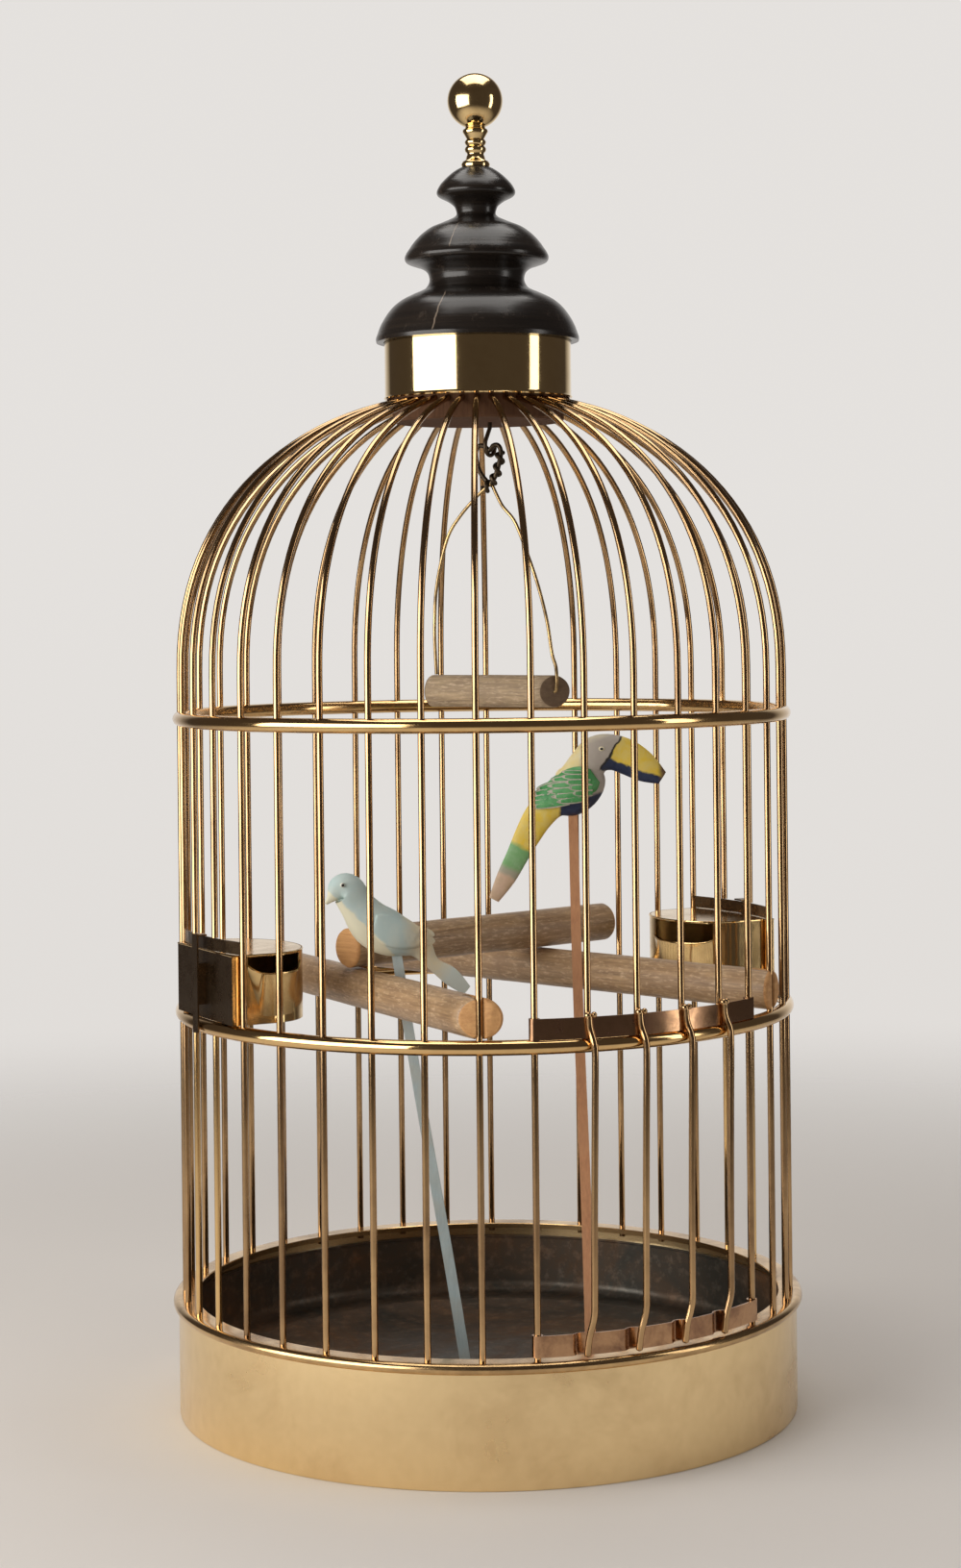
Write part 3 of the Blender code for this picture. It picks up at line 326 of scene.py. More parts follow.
def sheet(bm, rows, thickness_rows):
    """Adds a closed shell between two equal grids of points, and gives back the first grid's rows of faces."""
    grids = [[[bm.verts.new(p) for p in row] for row in grid] for grid in (rows, thickness_rows)]
    height, width = len(rows), len(rows[0])
    faces = []
    for grid in grids:
        for i in range(height - 1):
            faces.append([])
            for j in range(width - 1):
                faces[-1].append(bm.faces.new((grid[i][j], grid[i][j + 1], grid[i + 1][j + 1], grid[i + 1][j])))
    front, back = grids
    rim = [(0, j) for j in range(width)] + [(i, width - 1) for i in range(1, height)]
    rim += [(height - 1, j) for j in range(width - 2, -1, -1)] + [(i, 0) for i in range(height - 2, 0, -1)]
    for number, (i, j) in enumerate(rim):
        k, m = rim[(number + 1) % len(rim)]
        bm.faces.new((front[i][j], front[k][m], back[k][m], back[i][j]))
    return faces[: height - 1]


def put(name, build, looks, slot, nodes=(), angle=40.0, body="cage"):
    bm = bmesh.new()
    build(bm)
    return settle(show(name, bm, looks, angle), body, slot, *nodes)


# Looks

# Bar brass: the base colour is set darker than the hoops' to stand in for reflections of dark surroundings (painted
# dark reflection); the patches over it are real tarnish.
bar_painted_shade_look = brass("bar_brass", (0.64, 0.42, 0.21), (0.32, 0.2, 0.105), 0.07, 0.18, 9.0, 0.4, 0.7)
hoop_look = brass("hoop_brass", (0.84, 0.57, 0.26), (0.55, 0.34, 0.15), 0.08, 0.2, 7.0, 0.46, 0.78)
drum_look = brass("drum_brass", (0.94, 0.72, 0.4), (0.7, 0.49, 0.25), 0.2, 0.36, 11.0, 0.52, 0.82, 0.05)
rim_look = brass("rim_brass", (0.74, 0.5, 0.24), (0.34, 0.22, 0.11), 0.14, 0.3, 14.0, 0.4, 0.72)
collar_look = brass("collar_brass", (0.86, 0.64, 0.32), (0.66, 0.45, 0.2), 0.07, 0.16, 12.0, 0.5, 0.82)
knob_look = brass("knob_brass", (0.86, 0.64, 0.32), (0.6, 0.4, 0.18), 0.09, 0.2, 30.0, 0.48, 0.8)
# Door strap brass: the base colour is set dark to stand in for dark reflections on the straps (painted dark
# reflection); the patches over it are real tarnish.
strap_painted_shade_look = brass("strap_brass", (0.52, 0.31, 0.17), (0.26, 0.14, 0.085), 0.14, 0.28, 46.0, 0.4, 0.68)
feeder_look = brass("feeder_brass", (0.84, 0.6, 0.28), (0.52, 0.34, 0.15), 0.1, 0.24, 22.0, 0.48, 0.78)
inside_look = brass("feeder_inside", (0.74, 0.55, 0.3), (0.46, 0.33, 0.17), 0.3, 0.46, 30.0, 0.45, 0.75)
# Dark brass for the feeders' plates, straps and lintels: partly real tarnish, and partly a darkness that stands in for
# dark reflections on these pieces (painted dark reflection).
dull_painted_shade_look = brass("tarnish_and_painted_shade_brass", (0.27, 0.18, 0.1), (0.11, 0.075, 0.045), 0.2, 0.38, 40.0, 0.4, 0.7)
iron_look = brass("dark_wire", (0.1, 0.075, 0.05), (0.04, 0.03, 0.022), 0.42, 0.6, 60.0, 0.4, 0.7)
leg_look = brass("leg_wire", (0.62, 0.44, 0.2), (0.22, 0.15, 0.08), 0.22, 0.42, 40.0, 0.42, 0.72)


def tin_look():
    """Tinplate, browned and rusted in blotches."""
    made, tree, shader = nodes_of("pan_tin")
    shader.inputs["Metallic"].default_value = 0.55
    place = coords(tree)
    blotch = spread(tree, noise_of(tree, place, 8.0, 8.0, 0.7, 0.8), 0.4, 0.66)
    specks = spread(tree, noise_of(tree, place, 120.0, 4.0, 0.7), 0.5, 0.75)
    rust = mixed(tree, specks, (0.115, 0.062, 0.03), (0.22, 0.105, 0.045))
    skin = mixed(tree, specks, (0.06, 0.055, 0.045), (0.15, 0.135, 0.11))
    cover(tree, shader, mixed(tree, blotch, skin, rust), spread(tree, blotch, 0.0, 1.0, 0.34, 0.72))
    bumped(tree, shader, noise_of(tree, place, 55.0, 6.0), 0.25, 0.0012)
    return made


def check_line(tree, turn, low_z, high_z):
    """1 along a hairline that runs up a turned piece at one turn, between two heights."""
    spot = add(tree, "ShaderNodeSeparateXYZ", {0: coords(tree)})
    angle = calc(tree, "ARCTAN2", spot.outputs["X"], calc(tree, "MULTIPLY", spot.outputs["Y"], -1.0))
    wobble = calc(tree, "MULTIPLY_ADD", noise_of(tree, coords(tree), 55.0, 3.0), 0.1, angle)
    away = calc(tree, "ABSOLUTE", calc(tree, "SUBTRACT", wobble, turn + 0.05))
    line = spread(tree, away, 0.004, 0.01, 1.0, 0.0)
    above = spread(tree, spot.outputs["Z"], low_z, low_z + 0.002)
    below = spread(tree, spot.outputs["Z"], high_z - 0.002, high_z, 1.0, 0.0)
    return both(tree, both(tree, line, above), below)


def ebony_look():
    """Ebonised wood: turning marks run round it, and two dry checks run up it."""
    made, tree, shader = nodes_of("ebonised_wood")
    low_z, high_z = heights("finial_turning")
    height = high_z - low_z
    rings = spread(tree, noise_of(tree, coords(tree, (1.0, 1.0, 40.0)), 14.0, 4.0, 0.6), 0.3, 0.7)
    dust = spread(tree, noise_of(tree, coords(tree), 60.0, 6.0, 0.7), 0.56, 0.8)
    black = mixed(tree, rings, (0.01, 0.008, 0.007), (0.022, 0.016, 0.012))
    colour = mixed(tree, dust, black, (0.07, 0.05, 0.036))
    checks = both(
        tree,
        check_line(tree, -0.36, low_z + 0.5 * height, low_z + 0.66 * height),
        check_line(tree, -0.42, low_z + 0.02 * height, low_z + 0.26 * height),
        "MAXIMUM",
    )
    colour = mixed(tree, checks, colour, (0.22, 0.17, 0.13))
    cover(tree, shader, colour, spread(tree, dust, 0.0, 1.0, 0.24, 0.42))
    bumped(tree, shader, rings, 0.1, 0.0005)
    return made


pan_look = tin_look()
ebony = ebony_look()
perch_look = timber(
    "perch_bark", (0.6, 0.4, 0.22), (0.22, 0.13, 0.07), (0.33, 0.21, 0.12), 0.38, 2, 0.3, (0.76, 0.56, 0.36)
)
end_look = timber("sawn_end", (0.74, 0.42, 0.17), (0.46, 0.21, 0.07), (0.62, 0.32, 0.12), 0.65, 0, 0.5)
drift_look = timber(
    "driftwood", (0.62, 0.46, 0.28), (0.22, 0.155, 0.1), (0.33, 0.24, 0.16), 0.7, 2, 0.5, (0.74, 0.58, 0.4)
)
drift_end = timber("driftwood_end", (0.26, 0.17, 0.1), (0.1, 0.06, 0.04), (0.18, 0.12, 0.07), 0.8, 0, 0.5)
disc_look = timber("disc_wood", (0.17, 0.085, 0.045), (0.075, 0.038, 0.022), (0.11, 0.055, 0.03), 0.85, 2)
disc_look.node_tree.nodes["Principled BSDF"].inputs["Specular IOR Level"].default_value = 0.12
cream_paint = paint("cream_paint", (0.8, 0.72, 0.5), (0.66, 0.7, 0.62), 0.62, 60.0)
white_paint = paint("white_paint", (0.78, 0.78, 0.68), (0.66, 0.68, 0.62))
black_paint = paint("black_paint", (0.012, 0.01, 0.01), (0.03, 0.025, 0.02), 0.4)
edge_paint = paint("feather_edge_paint", (0.52, 0.47, 0.4), (0.26, 0.36, 0.24), 0.6, 260.0, 0.48, 0.66)
blue_stick = timber("blue_stick", (0.54, 0.62, 0.62), (0.4, 0.5, 0.52), (0.48, 0.5, 0.46), 0.65, 2)
brown_stick = timber("brown_stick", (0.66, 0.33, 0.16), (0.46, 0.21, 0.1), (0.56, 0.28, 0.14), 0.55, 2)


# Bars and hoops

def dome_point(radius):
    share = max(1.0 - (radius / R) ** DOME_POWER, 0.0)
    return radius, DOME_START + DOME_RISE * share ** (1 / DOME_POWER)


def bar_line(foot):
    """One bar's centre line as (radius, height)."""
    line = [(R, foot), (R, foot + 0.02), (R, (foot + DOME_START) / 2), (R, DOME_START - 0.01)]
    last = math.acos((BAR_END_RADIUS / R) ** (DOME_POWER / 2))
    for step in range(25):
        line.append(dome_point(R * math.cos(last * step / 24) ** (2 / DOME_POWER)))
    (r1, z1), (r2, z2) = line[-2:]
    line.append((r2 - 0.0065, z2 + (z2 - z1) / (r1 - r2) * 0.0065))
    return line


def make_bars():
    """Drawn brass bars; each has a slightly different set, as hand-bent wire does."""
    for index in range(BAR_COUNT):
        name = f"bar_{index:02d}"
        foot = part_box(name)[0].z
        turn = index * PITCH

        def build(bm):
            points = []
            for radius, height in bar_line(foot):
                wander = 0.0002 * noise.noise(Vector((index * 3.1, height * 9.0, 0.0)))
                points.append(around(turn, radius, height) + sideways(turn) * wander)
            tube(bm, points, BAR_R, 12)

        put(f"{name}_wire", build, bar_painted_shade_look, "bar_brass", (name,))


def ring_profile(centre, height, radius, steps, squash=1.0):
    return [(centre + radius * c, height + squash * radius * s) for c, s in circle(steps)]


def make_hoops():
    for name, height in (("middle_hoop", MIDDLE), ("upper_hoop", UPPER)):

        def build(bm):
            lathe(bm, ring_profile(R, height, HOOP_R, 20, HOOP_SQUASH), 190, True)
            if name == "middle_hoop":
                for index in CUT_BARS:
                    turn = index * PITCH
                    tube(bm, [around(turn, R, 0.0783), around(turn, R, 0.18), around(turn, R, height)], BAR_R, 12)

        put(f"{name}_tube", build, hoop_look, "trim_brass", (name,))


# Base

def make_base():
    inner, outer = 0.2281, DRUM_RADIUS
    drum = [
        (FLANGE_RADIUS, 0.0), (outer - 0.0012, 0.0), (outer - 0.0003, 0.0003), (outer, 0.0012), (outer, DRUM_TOP),
        (inner, DRUM_TOP), (inner, 0.0015), (FLANGE_RADIUS, 0.0015),
    ]
    turned("drum_sheet", drum, 228, drum_look, "drum_brass", "base_drum", True)
    top, bead = RIM_TOP, 0.0038
    centre = outer + 0.0003
    rim = [(FLANGE_RADIUS, top - 0.004), (FLANGE_RADIUS, top - 0.0006), (0.2167, top), (centre - 0.004, top)]
    for step in range(13):
        angle = math.pi / 2 - math.pi * 1.12 * step / 12
        rim.append((centre + bead * math.cos(angle), top - bead + bead * math.sin(angle)))
    rim.append((centre - 0.0003, top - 0.004))
    turned("rim_bead", rim, 228, rim_look, "trim_brass", "base_rim", True)
    wall, floor_z = 0.2278, 0.028
    pan = [(0.0, floor_z)]
    low_rings = ((0.06, 0.0004), (0.12, 0.0), (0.186, 0.0002), (0.19, 0.0016), (0.194, 0.0018), (0.198, 0.0004))
    pan += [(radius, floor_z + rise) for radius, rise in low_rings]
    for step in range(9):
        angle = math.pi / 2 * step / 8
        pan.append((wall - 0.0012 - 0.009 + 0.009 * math.sin(angle), floor_z + 0.009 - 0.009 * math.cos(angle)))
    pan += [
        (wall - 0.0012, 0.0715), (wall - 0.0022, 0.0722), (wall - 0.0022, 0.0738), (wall, 0.0738), (wall, 0.0018),
        (wall - 0.0012, 0.0018), (wall - 0.0012, floor_z - 0.0014), (0.0, floor_z - 0.0014),
    ]
    turned("pan_liner", pan, 180, pan_look, "pan_tin", "base_pan")


# Crown

# Outlines as (height, radius) in shares: of the finial's own, and of the stem's height and the knob's radius
FINIAL = (
    (0.0, 1.0), (0.02, 1.004), (0.045, 0.99), (0.085, 0.965), (0.12, 0.935), (0.165, 0.885), (0.205, 0.825),
    (0.24, 0.745), (0.27, 0.64), (0.29, 0.56), (0.31, 0.505), (0.35, 0.47), (0.395, 0.485), (0.425, 0.545),
    (0.445, 0.64), (0.458, 0.695), (0.48, 0.712), (0.505, 0.698), (0.53, 0.67), (0.565, 0.628), (0.6, 0.575),
    (0.63, 0.515), (0.655, 0.45), (0.68, 0.345), (0.695, 0.285), (0.712, 0.225), (0.73, 0.195), (0.755, 0.2),
    (0.78, 0.222), (0.808, 0.285), (0.83, 0.36), (0.846, 0.386), (0.865, 0.386), (0.89, 0.365), (0.91, 0.34),
    (0.94, 0.29), (0.965, 0.24), (0.985, 0.19), (1.0, 0.14),
)
KNOB_STEM = (
    (0.0, 0.5), (0.06, 0.52), (0.13, 0.47), (0.16, 0.37), (0.26, 0.33), (0.3, 0.3), (0.34, 0.31), (0.38, 0.37),
    (0.44, 0.39), (0.49, 0.36), (0.52, 0.31), (0.56, 0.36), (0.61, 0.39), (0.66, 0.36), (0.69, 0.31), (0.73, 0.34),
    (0.8, 0.4), (0.87, 0.46), (0.92, 0.45), (0.95, 0.38), (0.98, 0.36),
)


def make_crown():
    low_z, high_z = heights("crown_disc")
    boss, rim = 0.0681, BAR_END_RADIUS
    disc = [
        (0.0, low_z), (rim - 0.0015, low_z), (rim, low_z + 0.0015), (rim, low_z + 0.0185), (boss, low_z + 0.0187),
        (boss, high_z), (0.0, high_z),
    ]
    turned("crown_block", disc, 128, disc_look, "disc_wood", "crown_disc")
    low_z, high_z = heights("collar_band")
    outer = 0.0697
    band = [
        (outer - 0.0013, low_z), (outer + 0.0002, low_z), (outer + 0.0008, low_z + 0.0009),
        (outer + 0.0002, low_z + 0.0018), (outer, low_z + 0.003), (outer, high_z), (outer - 0.0013, high_z),
    ]
    turned("collar_sheet", band, 180, collar_look, "collar_brass", "collar_band", True)
    low_z, high_z = heights("finial_turning")
    points = [Vector((FINIAL_RADIUS * out, low_z + (high_z - low_z) * up, 0.0)) for up, out in FINIAL]
    outline = [(p.x, p.y) for p in smooth(points, 6)]
    cap = [(0.0, low_z + 0.006), (0.0702, low_z + 0.006), (0.0702, low_z), *outline, (0.0, high_z)]
    turned("finial_wood", cap, 144, ebony, "ebonised_wood", "finial_turning", angle=50.0)
    low_z, high_z = heights("finial_knob")
    radius = KNOB_RADIUS
    stem = [(0.0, low_z)] + [(radius * out, low_z + 0.03 * up) for up, out in KNOB_STEM]
    centre = high_z - radius
    neck = math.asin(0.36)
    for step in range(29):
        angle = neck + (math.pi - neck) * step / 28
        stem.append((radius * math.sin(angle) if step < 28 else 0.0, centre - radius * math.cos(angle)))
    turned("knob_ball", stem, 64, knob_look, "knob_brass", "finial_knob", angle=60.0)


# Door

def strap_rows(turns, radii, low):
    high = low + STRAP_TALL
    return [[around(turn, radius, z) for turn, radius in zip(turns, radii)] for z in (low, (low + high) / 2, high)]


def sleeve(bm, turn, low, high):
    """Adds a short tube that runs on a bar."""
    centre = around(turn, R, 0.0)
    a, b, c, d = [
        [bm.verts.new(centre + Vector((size * x, size * y, height))) for x, y in circle(18)]
        for height in (low, high)
        for size in (BAR_R + 0.0002, BAR_R + 0.0014)
    ]
    for s in range(18):
        o = (s + 1) % 18
        bm.faces.new((b[s], b[o], d[o], d[s]))
        bm.faces.new((a[s], c[s], c[o], a[o]))
        bm.faces.new((a[s], a[o], b[o], b[s]))
        bm.faces.new((c[s], d[s], d[o], c[o]))


def make_door():
    lower, door_high = heights("door")
    top = door_high - BAR_R
    upper = top - STRAP_TALL
    inner = R + BAR_R + 0.0003
    held = (2, 3, 4, 5)

    def straps(bm):
        """Two straps; the lower one is pressed in behind each wire."""
        turns = [PITCH + 5 * PITCH * s / 100 for s in range(101)]
        for low, groove in ((upper, 0.0), (lower, 0.0032)):
            radii = []
            for turn in turns:
                away = [(turn - (index - 0.2) * PITCH) / PITCH for index in held]
                radii.append(inner - groove * max(0.0, *(math.exp(-((a / 0.13) ** 4)) for a in away)))
            sheet(bm, strap_rows(turns, radii, low), strap_rows(turns, [r + STRAP_THICK for r in radii], low))

    def sleeves(bm):
        for low in (lower, upper):
            for index in (1, 6):
                sleeve(bm, index * PITCH, low, low + STRAP_TALL)

    def wires(bm):
        """Four wires that step out over the middle hoop, each with a drop of solder at its head."""
        on_strap = inner + STRAP_THICK + BAR_R - 0.0004
        clear = max(on_strap, R + HOOP_R + 0.0006 + BAR_R)
        path = (
            (on_strap, top + 0.0006, -0.0012), (on_strap, upper + 0.008, -0.0006),
            (on_strap + 0.0008, upper + 0.003, 0.0004), (clear, MIDDLE + 0.002, 0.0014),
            (clear + 0.0004, MIDDLE - 0.008, 0.002), (clear, 0.24, 0.0014),
            (clear, 0.18, 0.0004), (clear, 0.13, 0.0), (clear, lower + 0.026, -0.0006),
            (on_strap + 0.0006, lower + 0.012, -0.0034), (on_strap, lower + 0.0005, -0.0046),
        )
        for turn in (index * PITCH for index in held):
            tube(bm, smooth([around(turn, r, z) + sideways(turn) * s for r, z, s in path], 5), BAR_R, 12, True)
            ball(bm, around(turn, on_strap - 0.0002, top + 0.0012) - sideways(turn) * 0.0018, 0.0026)
            ball(bm, around(turn, on_strap - 0.0012, top + 0.0014) + sideways(turn) * 0.003, 0.0021)

    put("door_straps", straps, strap_painted_shade_look, "door_brass", ("door",), body="door")
    put("door_sleeves", sleeves, strap_painted_shade_look, "door_brass", body="door")
    put("door_wires", wires, bar_painted_shade_look, "door_brass", body="door")


# Feeders

CUP_STEPS, CUP_ROWS = 72, 16
CUP_HEIGHT = 0.05
# The sill's lip as (drop below its edge, flare outwards)
LIP = ((0.03, 0.0), (0.022, 0.0003), (0.014, 0.0009), (0.0075, 0.0017), (0.0026, 0.0028), (0.0, 0.0035))
# The window of each cup as (from, to, height of its sill, rise at its ends); from and to count the points of its
# outline, and the heights are shares of its own
WINDOWS = {
    "left": (6, CUP_ROWS + 16, 0.715, 0.13),
    "right": (CUP_ROWS + 31, CUP_ROWS + 60, 0.655, 0.06),
}


def feeder_frame(turn):
    """Origin on the bar circle, x across, y inwards, z up."""
    return Matrix.Translation(around(turn, R, 0.0)) @ Matrix.Rotation(turn, 4, "Z")


def cup_outline(inset):
    half = R * math.sin(1.5 * PITCH) - BAR_R - 0.0016 - inset
    straight = 0.0315
    reach = 0.0385 - inset
    flank = [inset + (straight - inset) * row / CUP_ROWS for row in range(CUP_ROWS)]
    angles = [math.pi * step / CUP_STEPS for step in range(CUP_STEPS + 1)]
    end = [(half * math.cos(angle), straight + reach * math.sin(angle)) for angle in angles]
    return [(half, y) for y in flank] + end + [(-half, y) for y in reversed(flank)]


def make_feeder(side, turn):
    node = f"feeder_{side}"
    box_low, box_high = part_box(node)
    low = HOOP_SEAT
    high = MIDDLE + HOOP_R * math.sin(math.radians(53.0)) + 0.0003 + CUP_HEIGHT
    place = feeder_frame(turn)
    outer, inner = cup_outline(0.0), cup_outline(0.0009)
    count = len(outer)
    first, last, level, rise = WINDOWS[side]
    window = range(first, last + 1)

    def sill(p):
        share = 2.0 * (p - first) / (last - first) - 1.0
        return low + (high - low) * (level + rise * share ** 4)

    def panel(bm, p, q, lows, highs):
        quads = []
        for line in (outer, inner):
            spots = ((p, lows[0]), (q, lows[1]), (q, highs[1]), (p, highs[0]))
            quads.append([bm.verts.new(place @ Vector((*line[number], z))) for number, z in spots])
        bm.faces.new(quads[0])
        bm.faces.new(quads[1]).material_index = 1
        for s in range(4):
            o = (s + 1) % 4
            bm.faces.new((quads[0][s], quads[0][o], quads[1][o], quads[1][s]))

    def plate(bm):
        """The flat wall that stands between the guide bars."""
        panel(bm, count - 1, 0, (low, low), (high, high))

    def cup(bm):
        """A half-round wall, open between the curved sill and the lid."""
        for p, q in zip(range(count), range(1, count)):
            if p in window and q in window:
                panel(bm, p, q, (low, low), (sill(p), sill(q)))
                panel(bm, p, q, (high - 0.0018, high - 0.0018), (high, high))
            else:
                panel(bm, p, q, (low, low), (high, high))
        for line, z, within in ((outer, low, 0), (inner, low + 0.0012, 1), (outer, high, 0), (inner, high - 0.001, 1)):
            bm.faces.new([bm.verts.new(place @ Vector((x, y, z))) for x, y in line]).material_index = within
        bmesh.ops.remove_doubles(bm, verts=bm.verts[:], dist=0.00002)

    def lips(bm):
        """The sill's flared edge, and the folded edge of the lid."""
        rows, backs = [], []
        for number, p in enumerate(window):
            edge = sill(p)
            spot = Vector((*outer[p], 0.0))
            run = Vector(outer[p + 1]) - Vector(outer[p - 1])
            out = Vector((run.y, -run.x, 0.0)).normalized()
            share = number / (len(window) - 1)
            # The flare fades at both ends on the left feeder, and at the far end alone on the right one
            from_end = 2.0 * min(share, 1.0 - share) if side == "left" else 2.0 * share
            fade = 0.15 + 0.85 * min(from_end / 0.4, 1.0)
            row, back = [], []
            for drop, flare in LIP:
                deep = edge - drop * fade
                row.append(place @ (spot + out * (0.0001 + flare * fade) + UP * deep))
                back.append(place @ (spot + out * (flare * fade - 0.0007) + UP * (deep + 0.0002)))
            rows.append(row)
            backs.append(back)
        sheet(bm, rows, backs)
        tube(bm, [row[-1] for row in rows], 0.0006, 8)
        line = cup_outline(0.0002)
        rim = [place @ Vector((x, y, high - 0.0006)) for x, y in line]
        tube(bm, [*rim, rim[0]], 0.0007, 8)

    def strap(bm):
        """The outer strap, with a tab over the hoop and a block that joins it to the cup."""
        face, z_low, z_high = 0.0063, box_low.z, box_high.z
        wide = (-0.00475, -0.0025, 0.0, 0.0025, 0.00475)
        levels = (z_low, z_low + 0.006, low + 0.02, high, z_high - STRAP_THICK, z_high)
        depths = (-face - 0.0006, -0.0005, 0.0001)
        ends = (low + 0.01, high - 0.01)
        for across, front, back in (
            (wide, [(-face - STRAP_THICK, z) for z in levels], [(-face, z) for z in levels]),
            (wide, [(y, z_high) for y in depths], [(y, z_high - STRAP_THICK) for y in depths]),
            ((-0.0024, 0.0024), [(-face, z) for z in ends], [(0.0004, z) for z in ends]),
        ):
            grids = ([[place @ Vector((x, y, z)) for x in across] for y, z in line] for line in (front, back))
            sheet(bm, *grids)

    put(f"{node}_cup", cup, [feeder_look, inside_look], "feeder_brass", (node,), body=node)
    put(f"{node}_plate", plate, [dull_painted_shade_look, inside_look], "feeder_brass", body=node)
    put(f"{node}_lips", lips, feeder_look, "feeder_brass", body=node)
    put(f"{node}_strap", strap, dull_painted_shade_look, "feeder_brass", body=node)
    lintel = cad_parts[f"{node}_lintel"]
    lintel.data.materials.clear()
    lintel.data.materials.append(dull_painted_shade_look)


# Perches

END_REACH = 0.04


def log(name, start, end, radius, looks, slot_starts, body, slot, node, seed, cuts=(None, None), chamfer=0.0026):
    """A smoothed branch rod with a saw slot at each end that is asked for; cuts are the directions its ends face."""
    length = (end - start).length
    turn = (end - start).to_track_quat("Z", "Y").to_matrix()
    faces = [turn.transposed() @ face if face else UP for face in cuts]
    sides, steps = 40, 40
    bm = bmesh.new()
    stations = [(0.0, 1.0 - chamfer / radius), (chamfer * 0.35, 1.0 - chamfer * 0.4 / radius), (chamfer, 1.0)]
    stations += [(chamfer + (length - 2 * chamfer) * s / steps, 1.0) for s in range(1, steps)]
    stations += [(length - z, share) for z, share in reversed(stations[:3])]
    rings = []
    for z, share in stations:
        ring = []
        for c, s in circle(sides):
            swell = 1.0 - 0.02 + 0.02 * noise.noise(Vector((c * 0.7, s * 0.7, z * 14.0 + seed)))
            swell += 0.008 * noise.noise(Vector((c * 2.5, s * 2.5, z * 50.0 + seed)))
            size = radius * share * min(swell, 1.0)
            x, y = size * c, size * s
            shift = 0.0
            for face, away in ((faces[0], z), (faces[1], length - z)):
                shift -= (x * face.x + y * face.y) / face.z * max(0.0, 1.0 - away / END_REACH)
            ring.append(bm.verts.new((x, y, z + shift)))
        rings.append(ring)
    bridge(bm, rings)
    for ring in (rings[0], rings[-1]):
        bm.faces.new(ring).material_index = 1
    piece = show(name, bm, looks, 35.0)
    piece.matrix_world = Matrix.Translation(start) @ turn.to_4x4()
    for number, (centre, inwards) in enumerate(slot_starts):
        cut_bm = bmesh.new()
        bmesh.ops.create_cube(cut_bm, size=1.0, matrix=Matrix.Diagonal((0.036, 2 * (BAR_R + 0.0004), 0.05, 1.0)))
        cut = show(f"{name}_cut_{number}", cut_bm, looks[1])
        cut.matrix_world = Matrix.Translation(centre) @ Matrix.Rotation(math.atan2(inwards.y, inwards.x), 4, "Z")
        step = piece.modifiers.new("slot", "BOOLEAN")
        step.operation = "DIFFERENCE"
        step.solver = "EXACT"
        step.object = cut
        bpy.context.view_layer.update()
        done = bpy.data.meshes.new_from_object(piece.evaluated_get(bpy.context.evaluated_depsgraph_get()))
        piece.modifiers.clear()
        piece.data = done
        bpy.data.objects.remove(cut)
    for face in piece.data.polygons:
        z, flat = face.center.z, abs(face.normal.z)
        by_end = z < 0.004 or z > length - 0.004
        inside = math.hypot(face.center.x, face.center.y) < radius * 0.93
        cut_wood = inside and 0.004 < z < length - 0.004 and flat < 0.9
        face.material_index = 1 if flat > 0.5 and by_end or cut_wood else 0
    return settle(piece, body, slot, node)


def bar_spot(index, height):
    return around(index * PITCH, R, height)


PERCH_R = 0.0145
PERCH_Z = HOOP_SEAT + PERCH_R


def make_perches():
    for name, first, last, seed in (("perch_front", 0, 25, 1.0), ("perch_right", 7, 22, 9.0)):
        start, end = bar_spot(first, PERCH_Z), bar_spot(last, PERCH_Z)
        along = (end - start).normalized()
        log(
            f"{name}_wood", start - along * 0.0033, end + along * 0.0033, PERCH_R, [perch_look, end_look],
            [(start, along), (end, along)], "cage", "perch_wood", name, seed,
            (outward(first * PITCH), outward(last * PITCH)),
        )
    lift = UP * (2 * PERCH_R + 0.0003)
    a = bar_spot(0, PERCH_Z).lerp(bar_spot(25, PERCH_Z), 0.48) + lift
    b = bar_spot(7, PERCH_Z).lerp(bar_spot(22, PERCH_Z), 0.52) + lift
    along = (b - a).normalized()
    log(
        "perch_cross_wood", a - along * 0.012, b + along * 0.066, PERCH_R, [perch_look, end_look], [], "cage",
        "perch_wood", "perch_cross", 17.0,
    )


# Swing

SWING_TURN = math.radians(30.0)
ALONG = Vector((math.cos(SWING_TURN), -math.sin(SWING_TURN), 0.0))
ACROSS = Vector((math.sin(SWING_TURN), math.cos(SWING_TURN), 0.0))


# The loop and the legs of the swing as (along, up) from its pivot, in metres
LOOP = (
    (0.001, -0.025), (0.0052, -0.019), (0.0084, -0.0095), (0.0098, -0.0016), (0.0076, 0.0033), (0.0032, 0.0036),
    (-0.0005, 0.0), (-0.005, 0.0034), (-0.0105, 0.0034), (-0.0128, -0.0016), (-0.0118, -0.0093), (-0.0094, -0.016),
    (-0.0045, -0.0222), (0.001, -0.0262),
)
LEFT_LEG = (
    (0.001, -0.025), (-0.006, -0.03), (-0.0145, -0.037), (-0.0265, -0.049), (-0.0365, -0.0628), (-0.044, -0.0854),
    (-0.0482, -0.1063), (-0.0494, -0.1238), (-0.0497, -0.1412),
)
RIGHT_LEG = (
    (0.001, -0.0262), (0.0035, -0.0314), (0.0095, -0.0419), (0.019, -0.0523), (0.0258, -0.0663), (0.0348, -0.0889),
    (0.0408, -0.1063), (0.0468, -0.129), (0.0505, -0.1516), (0.0535, -0.161),
)


